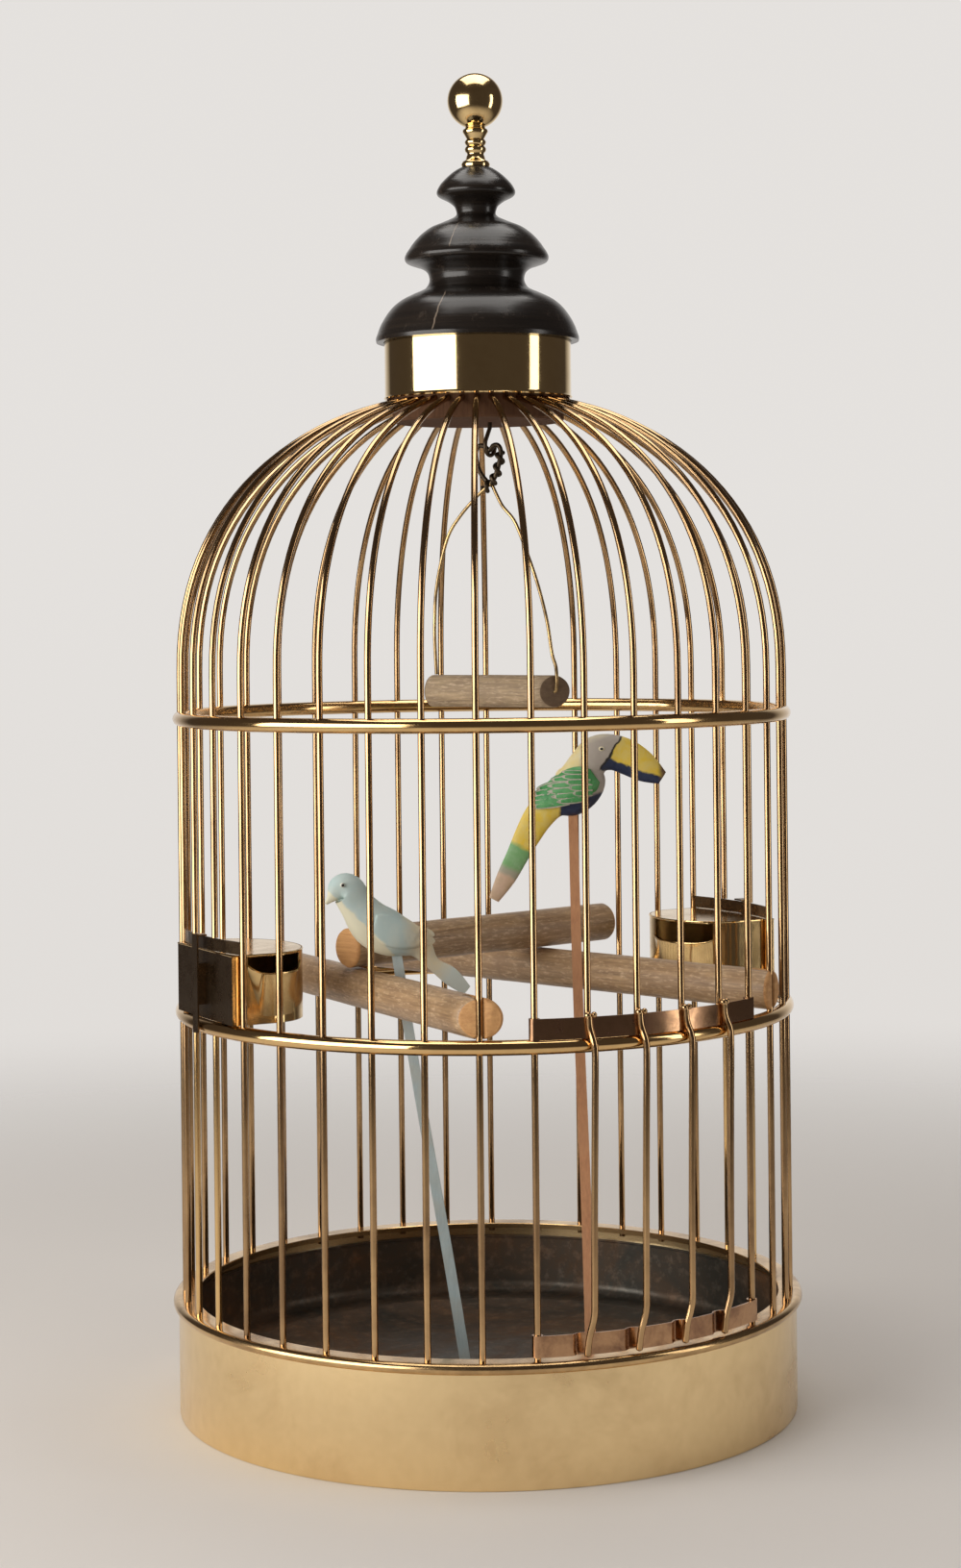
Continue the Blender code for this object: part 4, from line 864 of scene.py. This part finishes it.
def make_swing():
    pivot = Vector((0.0085, 0.0, DISC_LOW - 0.021))
    drop, radius = 0.18, 0.01225
    left_end, right_end = -0.0535, 0.0538
    dowel = pivot - UP * drop
    slant = (ALONG - ACROSS * 0.551).normalized()
    log(
        "swing_perch", dowel + ALONG * left_end, dowel + ALONG * right_end, radius, [drift_look, drift_end], [],
        "swing", "swing_wood", "swing_dowel", 31.0, (None, slant), 0.0015,
    )

    def in_plane(points, depth=0.0):
        return [pivot + ALONG * h + UP * v + ACROSS * depth for h, v in points]

    def hook(bm):
        root = Vector((pivot.x, pivot.y, 0.0))
        low = pivot.z - 0.0037
        points = [root + UP * (DISC_LOW - 0.0002), root + UP * (DISC_LOW - 0.004)]
        points.append(root + UP * (low + 0.0105) - ACROSS * 0.0066)
        for step in range(13):
            angle = math.pi * step / 12
            points.append(root + UP * (low + 0.007 - 0.007 * math.sin(angle)) - ACROSS * 0.007 * math.cos(angle))
        tube(bm, points, 0.0016, 12, True)

    def loop(bm):
        """A knot-like loop of bent wire; one lobe has the wire's end wound round it."""
        line = smooth(in_plane(LOOP), 6)
        last = len(line) - 1
        line = [p + ACROSS * 0.0014 * (2.0 * n / last - 1.0) for n, p in enumerate(line)]
        tube(bm, line, 0.0018, 10)
        core = smooth([*in_plane(LEFT_LEG[1::-1], -0.0014), *in_plane(LOOP[1:4], -0.001)], 24)
        wound = []
        for number in range(1, len(core) - 1):
            run = (core[number + 1] - core[number - 1]).normalized()
            side = run.cross(ACROSS).normalized()
            angle = math.tau * 4.4 * number / len(core)
            wound.append(core[number] + (side * math.cos(angle) + ACROSS * math.sin(angle)) * 0.0026)
        tube(bm, wound, 0.0017, 8, True)

    def legs(bm):
        left = in_plane(LEFT_LEG, -0.0014)
        left.append(dowel + ALONG * -0.0493 + UP * (radius + 0.0002))
        right = in_plane(RIGHT_LEG, 0.0014)
        rim = dowel + ALONG * (right_end + 0.0018) - ACROSS * 0.0008
        right += [rim + UP * (radius - 0.0002), rim + UP * 0.006]
        right += [dowel + ALONG * right_end, dowel + ALONG * (right_end - 0.004)]
        for line in (left, right):
            tube(bm, smooth(line, 6), 0.0013, 10)

    put("swing_hook_wire", hook, iron_look, "hook_iron", ("swing_hook",))
    put("swing_loop", loop, iron_look, "swing_iron", ("swing_wire",), body="swing")
    put("swing_legs", legs, leg_look, "swing_iron", body="swing")


# Birds

FULLNESS = 2.2
FEATHER_FLOOR = 0.0022


def spine(stations, length, width_share, steps=5):
    """Rings of (centre, upright, half height, half width) down a carved body, in the bird's own axes."""
    line = smooth([Vector(s) for s in stations], steps)
    centres = [Vector((length * p.x, 0.0, length * p.y)) for p in line]
    last = len(line) - 1
    rings = []
    for number, centre in enumerate(centres):
        run = (centres[min(number + 1, last)] - centres[max(number - 1, 0)]).normalized()
        tall = length * max(line[number].z, 0.004)
        rings.append((centre, Vector((-run.z, 0.0, run.x)), tall, tall * width_share(number / last)))
    return rings


def carved(bm, rings, place, sides=28):
    """Adds a carved body, a little fuller than an ellipse, round a spine."""
    loops = []
    for centre, upright, tall, wide in rings:
        loop = []
        for c, d in circle(sides):
            c = math.copysign(abs(c) ** (2 / FULLNESS), c)
            d = math.copysign(abs(d) ** (2 / FULLNESS), d)
            loop.append(bm.verts.new(place @ (centre + upright * tall * c + Vector((0.0, wide * d, 0.0)))))
        loops.append(loop)
    bridge(bm, loops)
    bm.faces.new(loops[0])
    bm.faces.new(loops[-1])


def side_reach(rings, point):
    """How far the body's side stands out at a point of its middle plane."""
    best = 0.0
    for centre, upright, tall, wide in rings:
        away = point - centre
        across = abs(away.dot(upright)) / tall
        along = (away - upright * away.dot(upright)).length
        if across < 1.0 and along < 0.006:
            best = max(best, wide * (1.0 - across ** FULLNESS) ** (1 / FULLNESS))
    return best


def wing_pad(bm, place, rings, top, bottom, side, length, swell, rise, columns=30, rows=14):
    """Adds a wing's raised ground between its edges, listed from shoulder to tip; rise is how fast it stands out."""
    top = smooth([Vector((x, 0.0, z)) * length for x, z in top], 8)
    bottom = smooth([Vector((x, 0.0, z)) * length for x, z in bottom], 8)
    front, back = [], []
    for i in range(columns + 1):
        a = top[round(i / columns * (len(top) - 1))]
        b = bottom[round(i / columns * (len(bottom) - 1))]
        row, buried = [], []
        for j in range(rows + 1):
            share = j / rows
            point = a.lerp(b, share)
            edge = min(1.0, 5.0 * min(share, 1.0 - share), rise * i / columns, 6.0 * (1.0 - i / columns))
            out = side_reach(rings, point) + swell * math.sqrt(max(edge, 0.0)) - 0.0004
            row.append(place @ (point + Vector((0.0, out * side, 0.0))))
            buried.append(place @ (point + Vector((0.0, (out - 0.0022) * side, 0.0))))
        front.append(row)
        back.append(buried)
    sheet(bm, front, back)


def feather(bm, place, rings, root, tip, half, lift, side):
    """Adds one carved feather over the wing, a long round-ended lobe; its edge has the second look."""
    run = tip - root
    upright = Vector((-run.z, 0.0, run.x)).normalized()
    rows, backs = [], []
    count = 14
    for step in range(count + 1):
        share = step / count
        wide = half * (0.7 + 0.3 * math.sin(math.pi * min(share + 0.1, 1.0)))
        wide *= math.sqrt(max(1.0 - max(0.0, (share - 0.7) / 0.3) ** 2, 0.02))
        row, back = [], []
        for across in (-1.0, -0.64, -0.3, 0.0, 0.3, 0.64, 1.0):
            point = root + run * share + upright * wide * across
            out = max(side_reach(rings, point), FEATHER_FLOOR) + lift + 0.0007 * share - 0.0005 * across * across
            row.append(place @ (point + Vector((0.0, out * side, 0.0))))
            back.append(place @ (point + Vector((0.0, (out - 0.0018) * side, 0.0))))
        rows.append(row)
        backs.append(back)
    faces = sheet(bm, rows, backs)
    for number, strip in enumerate(faces):
        for place_in_row, face in enumerate(strip):
            if place_in_row in (0, 5) or number >= count - 2:
                face.material_index = 1


def stick(bm, foot, top):
    rows, backs = [], []
    wide, thick = Vector((0.004, 0.0, 0.0)), Vector((0.0, 0.0016, 0.0))
    for step in range(13):
        share = step / 12
        centre = foot.lerp(top, share)
        size = 1.0 - 0.1 * share
        wander = Vector((0.0005 * math.sin(share * 7.0), 0.0, 0.0))
        rows.append([centre + wander + wide * size * a - thick * size for a in (-1.0, -0.8, 0.8, 1.0)])
        backs.append([centre + wander + wide * size * a + thick * size for a in (-1.0, -0.8, 0.8, 1.0)])
    sheet(bm, rows, backs)


def lean_point(first, last, share, side):
    start, end = bar_spot(first, PERCH_Z), bar_spot(last, PERCH_Z)
    along = (end - start).normalized()
    out = Vector((along.y, -along.x, 0.0)) * side
    return start.lerp(end, share) + out * (PERCH_R + math.hypot(0.008, 0.0032) / 2 + 0.0008)


# Each bird's middle line from one end to the other, as (along, up, half height) shares of its length
BLUE = (
    (-0.45, 0.336, 0.01), (-0.414, 0.378, 0.034), (-0.368, 0.432, 0.086), (-0.308, 0.428, 0.112),
    (-0.242, 0.336, 0.116), (-0.134, 0.215, 0.15), (-0.01, 0.152, 0.15), (0.107, 0.118, 0.118),
    (0.2, 0.072, 0.086), (0.295, -0.04, 0.046), (0.416, -0.12, 0.06), (0.537, -0.215, 0.036),
)
TOUCAN = (
    (0.5, 0.186, 0.04), (0.414, 0.24, 0.082), (0.322, 0.3, 0.1), (0.236, 0.336, 0.103), (0.147, 0.331, 0.108),
    (0.085, 0.268, 0.106), (0.049, 0.177, 0.139), (-0.012, 0.101, 0.134), (-0.112, 0.05, 0.094), (-0.19, -0.034, 0.084),
    (-0.253, -0.144, 0.073), (-0.31, -0.259, 0.062), (-0.374, -0.385, 0.054), (-0.443, -0.511, 0.03),
)


# The ends of the blue bird's wing, as (root along, root up, tip along, tip up, half width) shares of its length
BLUE_LOBES = ((0.15, 0.176, 0.29, 0.15, 0.036), (0.15, 0.124, 0.296, 0.11, 0.036))


def blue_width(share):
    """Half width against half height: slim at the beak, full at the breast, thin at the tail."""
    if share < 0.62:
        return 0.8
    return 0.8 - 0.5 * min((share - 0.62) / 0.25, 1.0)


def make_bird(kind, stations, width, length, foot, top, place, looks, wing, feathers, eye, discs):
    """One carved bird: body, wings with feathers, stick and eyes; looks has one for each of the first three."""
    rings = spine(stations, length, width)
    slot = f"{kind}_paint"
    body_look, wing_looks, stick_look = looks
    put(f"{kind}_body", lambda bm: carved(bm, rings, place), body_look, slot, (f"bird_{kind}",), 60.0)

    def wings(bm):
        upper, lower, swell, rise = wing
        for side in (1, -1):
            wing_pad(bm, place, rings, upper, lower, side, length, swell, rise)
            for root_x, root_z, tip_x, tip_z, half, lift in feathers:
                root, tip = Vector((root_x, 0.0, root_z)) * length, Vector((tip_x, 0.0, tip_z)) * length
                feather(bm, place, rings, root, tip, half * length, lift, side)

    put(f"{kind}_wings", wings, wing_looks, slot, (), 60.0)
    root = top + (top - foot).normalized() * 0.006
    put(f"{kind}_stick", lambda bm: stick(bm, foot, root), stick_look, slot)
    along, up, sink, squash = eye
    for side in (1, -1):
        for name, size, depth, look in discs:
            spot = Vector((along, 0.0, up)) * length
            spot.y = side * (side_reach(rings, spot) + depth - sink)
            put(f"{kind}_eye_{name}_{side + 1}", lambda bm: ball(bm, place @ spot, size, squash), look, slot)


def make_blue():
    length = 0.109
    foot = Vector((-0.066 * R, -0.178 * R, STICK_FOOT))
    lean = lean_point(0, 25, 0.4, 1)
    top = foot.lerp(lean, 1.0 + 0.034 / (lean.z - foot.z))
    seat = top + Vector((-0.0035, 0.0, -0.009))
    turns = Matrix.Rotation(math.radians(16.0), 4, "Z") @ Matrix.Rotation(math.radians(3.5), 4, "Y")
    place = Matrix.Translation(seat) @ turns
    look = blue_body_look(place, length)
    upper = ((-0.13, 0.29), (-0.04, 0.285), (0.06, 0.252), (0.142, 0.222), (0.21, 0.192), (0.262, 0.166))
    lower = ((-0.16, 0.17), (-0.08, 0.085), (0.055, 0.058), (0.15, 0.066), (0.215, 0.074), (0.262, 0.08))
    make_bird(
        "blue", BLUE, blue_width, length, foot, top, place, (look, [look, look], blue_stick),
        (upper, lower, 0.0026, 1.2), [(*lobe, 0.0008) for lobe in BLUE_LOBES], (-0.362, 0.468, 0.0008, 1.0),
        (("ring", 0.0017, 0.0, white_paint), ("dot", 0.0011, 0.0012, black_paint)),
    )


def local_axis(tree, place, axis):
    """A bird's own axis as a value, from the piece's coordinates."""
    source = add(tree, "ShaderNodeTexCoord").outputs["Object"]
    direction = place.to_3x3().inverted().transposed() @ Vector(axis).normalized()
    dot = add(tree, "ShaderNodeVectorMath", {0: source}, operation="DOT_PRODUCT")
    dot.inputs[1].default_value = direction
    shift = calc(tree, "SUBTRACT", dot.outputs["Value"], direction.dot(place.translation))
    return calc(tree, "MULTIPLY_ADD", noise_of(tree, source, 160.0, 3.0), 0.004, shift)


def past(tree, place, length, axis, limit, soft=0.01):
    """1 where a point lies past a line; axis and limit are shares of the length along and up the bird."""
    size = math.hypot(*axis)
    edge = limit / size * length + 0.002
    value = local_axis(tree, place, (axis[0], 0.0, axis[1]))
    return spread(tree, value, edge - soft * length, edge + soft * length)


def painted(name, rough=0.6):
    made, tree, shader = nodes_of(name)
    shader.inputs["Roughness"].default_value = rough
    bumped(tree, shader, noise_of(tree, coords(tree), 500.0, 3.0), 0.15, 0.0004)
    return made, tree, shader


def rubbed(tree, pale, dark, scale=120.0):
    """Hand-laid paint that is thin in places."""
    return mixed(tree, spread(tree, noise_of(tree, coords(tree), scale, 5.0, 0.65, 0.4), 0.4, 0.7), pale, dark)


def blue_body_look(place, length):
    """Pale blue, with a cream beak, breast edge and wing ends, and a paler tail."""
    made, tree, shader = painted("blue_body_paint")

    def zone(axis, limit, soft=0.01):
        return past(tree, place, length, axis, limit, soft)

    cream = rubbed(tree, (0.78, 0.68, 0.47), (0.72, 0.68, 0.53))
    colour = rubbed(tree, (0.5, 0.63, 0.62), (0.58, 0.67, 0.63), 70.0)
    breast = both(tree, zone((-0.866, -0.5), 0.105, 0.03), zone((0.0, -1.0), -0.3, 0.03))
    colour = mixed(tree, breast, colour, cream)
    colour = mixed(tree, zone((1.0, 0.15), 0.13, 0.06), colour, cream)
    colour = mixed(tree, zone((0.86, -0.5), 0.36, 0.05), colour, (0.66, 0.72, 0.67))
    colour = mixed(tree, zone((-0.669, -0.743), -0.022, 0.006), colour, (0.78, 0.76, 0.58))
    tree.links.new(colour, shader.inputs["Base Color"])
    return made


def toucan_body_look(place, length):
    """Grey head, yellow bill edged in navy, yellow nape, navy belly, and a tail in yellow, green and bare wood."""
    made, tree, shader = painted("toucan_body_paint", 0.55)

    def zone(axis, limit, soft=0.008):
        return past(tree, place, length, axis, limit, soft)

    yellow = rubbed(tree, (0.84, 0.6, 0.06), (0.8, 0.64, 0.2))
    navy = rubbed(tree, (0.012, 0.022, 0.065), (0.03, 0.045, 0.1))
    colour = rubbed(tree, (0.46, 0.41, 0.36), (0.52, 0.47, 0.41), 60.0)
    nape = rubbed(tree, (0.82, 0.68, 0.32), (0.8, 0.72, 0.46))
    colour = mixed(tree, zone((-0.3, 0.954), 0.366, 0.018), colour, (0.76, 0.68, 0.48))
    colour = mixed(tree, zone((-1.0, 0.12), -0.014, 0.014), colour, nape)
    belly = both(tree, zone((0.259, -1.0), -0.066), zone((1.0, 0.0), -0.085))
    colour = mixed(tree, belly, colour, navy)
    tail = both(tree, zone((-1.0, 0.0), 0.07), zone((0.0, -1.0), -0.06))
    green = rubbed(tree, (0.2, 0.44, 0.17), (0.3, 0.52, 0.27))
    bare = rubbed(tree, (0.72, 0.52, 0.38), (0.6, 0.44, 0.28))
    tail_paint = yellow
    for limit, soft, below in ((0.315, 0.012, green), (0.455, 0.014, (0.42, 0.4, 0.3)), (0.5, 0.012, bare)):
        tail_paint = mixed(tree, zone((-0.471, -0.882), limit, soft), tail_paint, below)
    colour = mixed(tree, tail, colour, tail_paint)
    bill = mixed(tree, zone((0.397, 1.0), 0.386, 0.006), navy, yellow)
    bill = mixed(tree, zone((1.0, 0.0), 0.485, 0.015), bill, (0.14, 0.075, 0.03))
    on_bill = both(tree, zone((0.0, 1.0), 0.238), zone((1.0, 0.0), 0.19), "MAXIMUM")
    for limit, below in ((-0.006, (0.02, 0.016, 0.014)), (0.006, bill)):
        colour = mixed(tree, both(tree, zone((0.842, -0.54), limit, 0.003), on_bill), colour, below)
    tree.links.new(colour, shader.inputs["Base Color"])
    return made


def toucan_wing_look():
    made, tree, shader = painted("toucan_wing_paint", 0.5)
    place = coords(tree)
    patches = spread(tree, noise_of(tree, place, 70.0, 5.0, 0.6, 0.5), 0.42, 0.68)
    worn = spread(tree, noise_of(tree, place, 260.0, 5.0, 0.7), 0.58, 0.74)
    green = mixed(tree, patches, (0.05, 0.28, 0.08), (0.13, 0.42, 0.15))
    tree.links.new(mixed(tree, worn, green, (0.4, 0.44, 0.36)), shader.inputs["Base Color"])
    bumped(tree, shader, noise_of(tree, place, 500.0, 3.0), 0.2, 0.0004)
    return made


def toucan_width(share):
    """Half width against half height: narrow at the bill, full at the breast, thin at the tail."""
    spots = []
    for nudge in (-0.06, -0.03, 0.0, 0.03, 0.06):
        spot = min(max(share + nudge, 0.0), 1.0)
        if spot < 0.28:
            spots.append(0.5)
        else:
            spots.append(0.74 - 0.42 * min(max(spot - 0.55, 0.0) / 0.2, 1.0))
    return sum(spots) / len(spots)


# Feathers as (root along, root up, tip along, tip up, half width), in shares of the bird's length
TOUCAN_FEATHER_ROWS = (
    (
        (-0.02, 0.058, -0.232, 0.026, 0.021), (-0.02, 0.082, -0.24, 0.048, 0.021), (-0.03, 0.11, -0.238, 0.072, 0.021),
        (-0.05, 0.142, -0.226, 0.098, 0.02), (-0.06, 0.172, -0.2, 0.128, 0.018),
    ),
    (
        (0.08, 0.078, -0.09, 0.06, 0.021), (0.08, 0.104, -0.12, 0.088, 0.022), (0.07, 0.134, -0.14, 0.118, 0.022),
        (0.05, 0.166, -0.14, 0.15, 0.02), (0.02, 0.2, -0.12, 0.184, 0.017),
    ),
    (
        (0.11, 0.11, 0.0, 0.11, 0.021), (0.11, 0.142, -0.024, 0.142, 0.022), (0.1, 0.174, -0.044, 0.174, 0.02),
        (0.08, 0.204, -0.062, 0.206, 0.018), (0.05, 0.23, -0.06, 0.232, 0.013),
    ),
)


def make_toucan():
    length = 0.1313
    foot = Vector((0.337 * R, -0.312 * R, STICK_FOOT))
    lean = lean_point(7, 22, 0.4, -1)
    top = foot.lerp(lean, 1.0 + 0.12 / (lean.z - foot.z)) + Vector((0.004, 0.0, 0.0))
    place = Matrix.Translation(top) @ Matrix.Diagonal((1.045, 1.0, 1.0, 1.0))
    upper = ((0.1, 0.245), (0.04, 0.262), (-0.03, 0.246), (-0.1, 0.2), (-0.17, 0.135), (-0.238, 0.072))
    lower = ((0.152, 0.168), (0.13, 0.118), (0.05, 0.074), (-0.06, 0.04), (-0.16, 0.02), (-0.238, 0.022))
    feathers = [(*lobe, 0.0024 + 0.0005 * level) for level, row in enumerate(TOUCAN_FEATHER_ROWS) for lobe in row]
    looks = (toucan_body_look(place, length), [toucan_wing_look(), edge_paint], brown_stick)
    make_bird(
        "toucan", TOUCAN, toucan_width, length, foot, top, place, looks, (upper, lower, 0.003, 6.0), feathers,
        (0.163, 0.362, 0.001, 0.75), (("ring", 0.0024, 0.0, cream_paint), ("dot", 0.0014, 0.0014, black_paint)),
    )


# Studio

# Softboxes as (name, turn to the left of the front, distance, height, width, tall, brightness)
SOFTBOXES = (
    ("window", 55.0, 2.2, 0.85, 2.5, 1.7, 4.3),
    ("strip", -74.0, 2.0, 0.8, 0.45, 1.6, 3.0),
)
PALE = (0.78, 0.755, 0.73)
FLOOR = (0.74, 0.71, 0.68)
DIM = (0.06, 0.05, 0.045)


def area_light(name, spot, aim, width, tall, brightness, colour=(1.0, 0.97, 0.93)):
    light = bpy.data.lights.new(name, "AREA")
    light.shape = "RECTANGLE"
    light.size, light.size_y = width, tall
    light.energy = brightness * math.pi * width * tall
    light.color = colour
    lamp = placed(name, light)
    lamp.location = spot
    lamp.rotation_euler = (aim - spot).to_track_quat("-Z", "Y").to_euler()


def make_world():
    """A pale backdrop, as the camera and the brass both see it, and dim light from all other sides."""
    world = bpy.data.worlds.new("studio")
    bpy.context.scene.world = world
    world.use_nodes = True
    tree = world.node_tree
    parts = add(tree, "ShaderNodeSeparateXYZ", {0: add(tree, "ShaderNodeTexCoord").outputs["Generated"]})
    backdrop = spread(tree, parts.outputs["Y"], 0.74, 0.96)
    seen = add(tree, "ShaderNodeLightPath").outputs["Is Camera Ray"]
    share = both(tree, backdrop, seen, "MAXIMUM")
    pale = mixed(tree, spread(tree, parts.outputs["Z"], -0.22, 0.04), FLOOR, PALE)
    colour = mixed(tree, share, DIM, pale)
    tree.links.new(colour, tree.nodes["Background"].inputs["Color"])
    tree.nodes["Background"].inputs["Strength"].default_value = 1.0


def make_floor():
    """A pale floor that fades into the backdrop."""
    made, tree, shader = nodes_of("floor_cloth")
    cover(tree, shader, FLOOR, 0.9)
    spot = add(tree, "ShaderNodeVectorMath", {0: coords(tree)}, operation="LENGTH")
    fade = spread(tree, spot.outputs["Value"], 0.5, 2.1)
    fade.node.interpolation_type = "SMOOTHSTEP"
    clear = add(tree, "ShaderNodeBsdfTransparent")
    join = add(tree, "ShaderNodeMixShader", {0: fade, 1: shader.outputs[0], 2: clear.outputs[0]})
    tree.links.new(join.outputs[0], tree.nodes["Material Output"].inputs["Surface"])
    bm = bmesh.new()
    bmesh.ops.create_grid(bm, x_segments=1, y_segments=1, size=2.5)
    show("floor", bm, made, flip=False)


def make_studio():
    make_floor()
    make_world()
    aim = Vector((0.0, 0.0, 0.5))
    for name, turn, distance, height, width, tall, brightness in SOFTBOXES:
        angle = math.radians(turn)
        spot = Vector((-math.sin(angle) * distance, -math.cos(angle) * distance, height))
        area_light(name, spot, Vector((0.0, 0.0, height)), width, tall, brightness)
    area_light("overhead", Vector((0.0, 0.3, 2.9)), aim, 2.2, 2.2, 2.9)


CAMERA_TURN = math.radians(1.0)
CAMERA_DISTANCE = 2.15


def make_camera():
    """Level and shifted down, so that upright bars stay parallel."""
    data = bpy.data.cameras.new("camera")
    data.sensor_width = 36.0
    data.lens = 66.0
    data.shift_y = -0.1076
    data.dof.use_dof = False
    camera = placed("camera", data)
    camera.location = (CAMERA_DISTANCE * math.sin(CAMERA_TURN), -CAMERA_DISTANCE * math.cos(CAMERA_TURN), 0.586)
    aim = Matrix.Rotation(CAMERA_TURN, 4, "Z") @ Matrix.Rotation(math.radians(90.0), 4, "X")
    camera.rotation_euler = (aim @ Matrix.Rotation(math.radians(-0.62), 4, "Z")).to_euler()
    bpy.context.scene.camera = camera
    bpy.context.scene.view_settings.view_transform = "Standard"


make_bars()
make_hoops()
make_base()
make_crown()
make_door()
make_feeder("left", 31.5 * PITCH)
make_feeder("right", 12.5 * PITCH)
make_perches()
make_swing()
make_blue()
make_toucan()
make_studio()
make_camera()
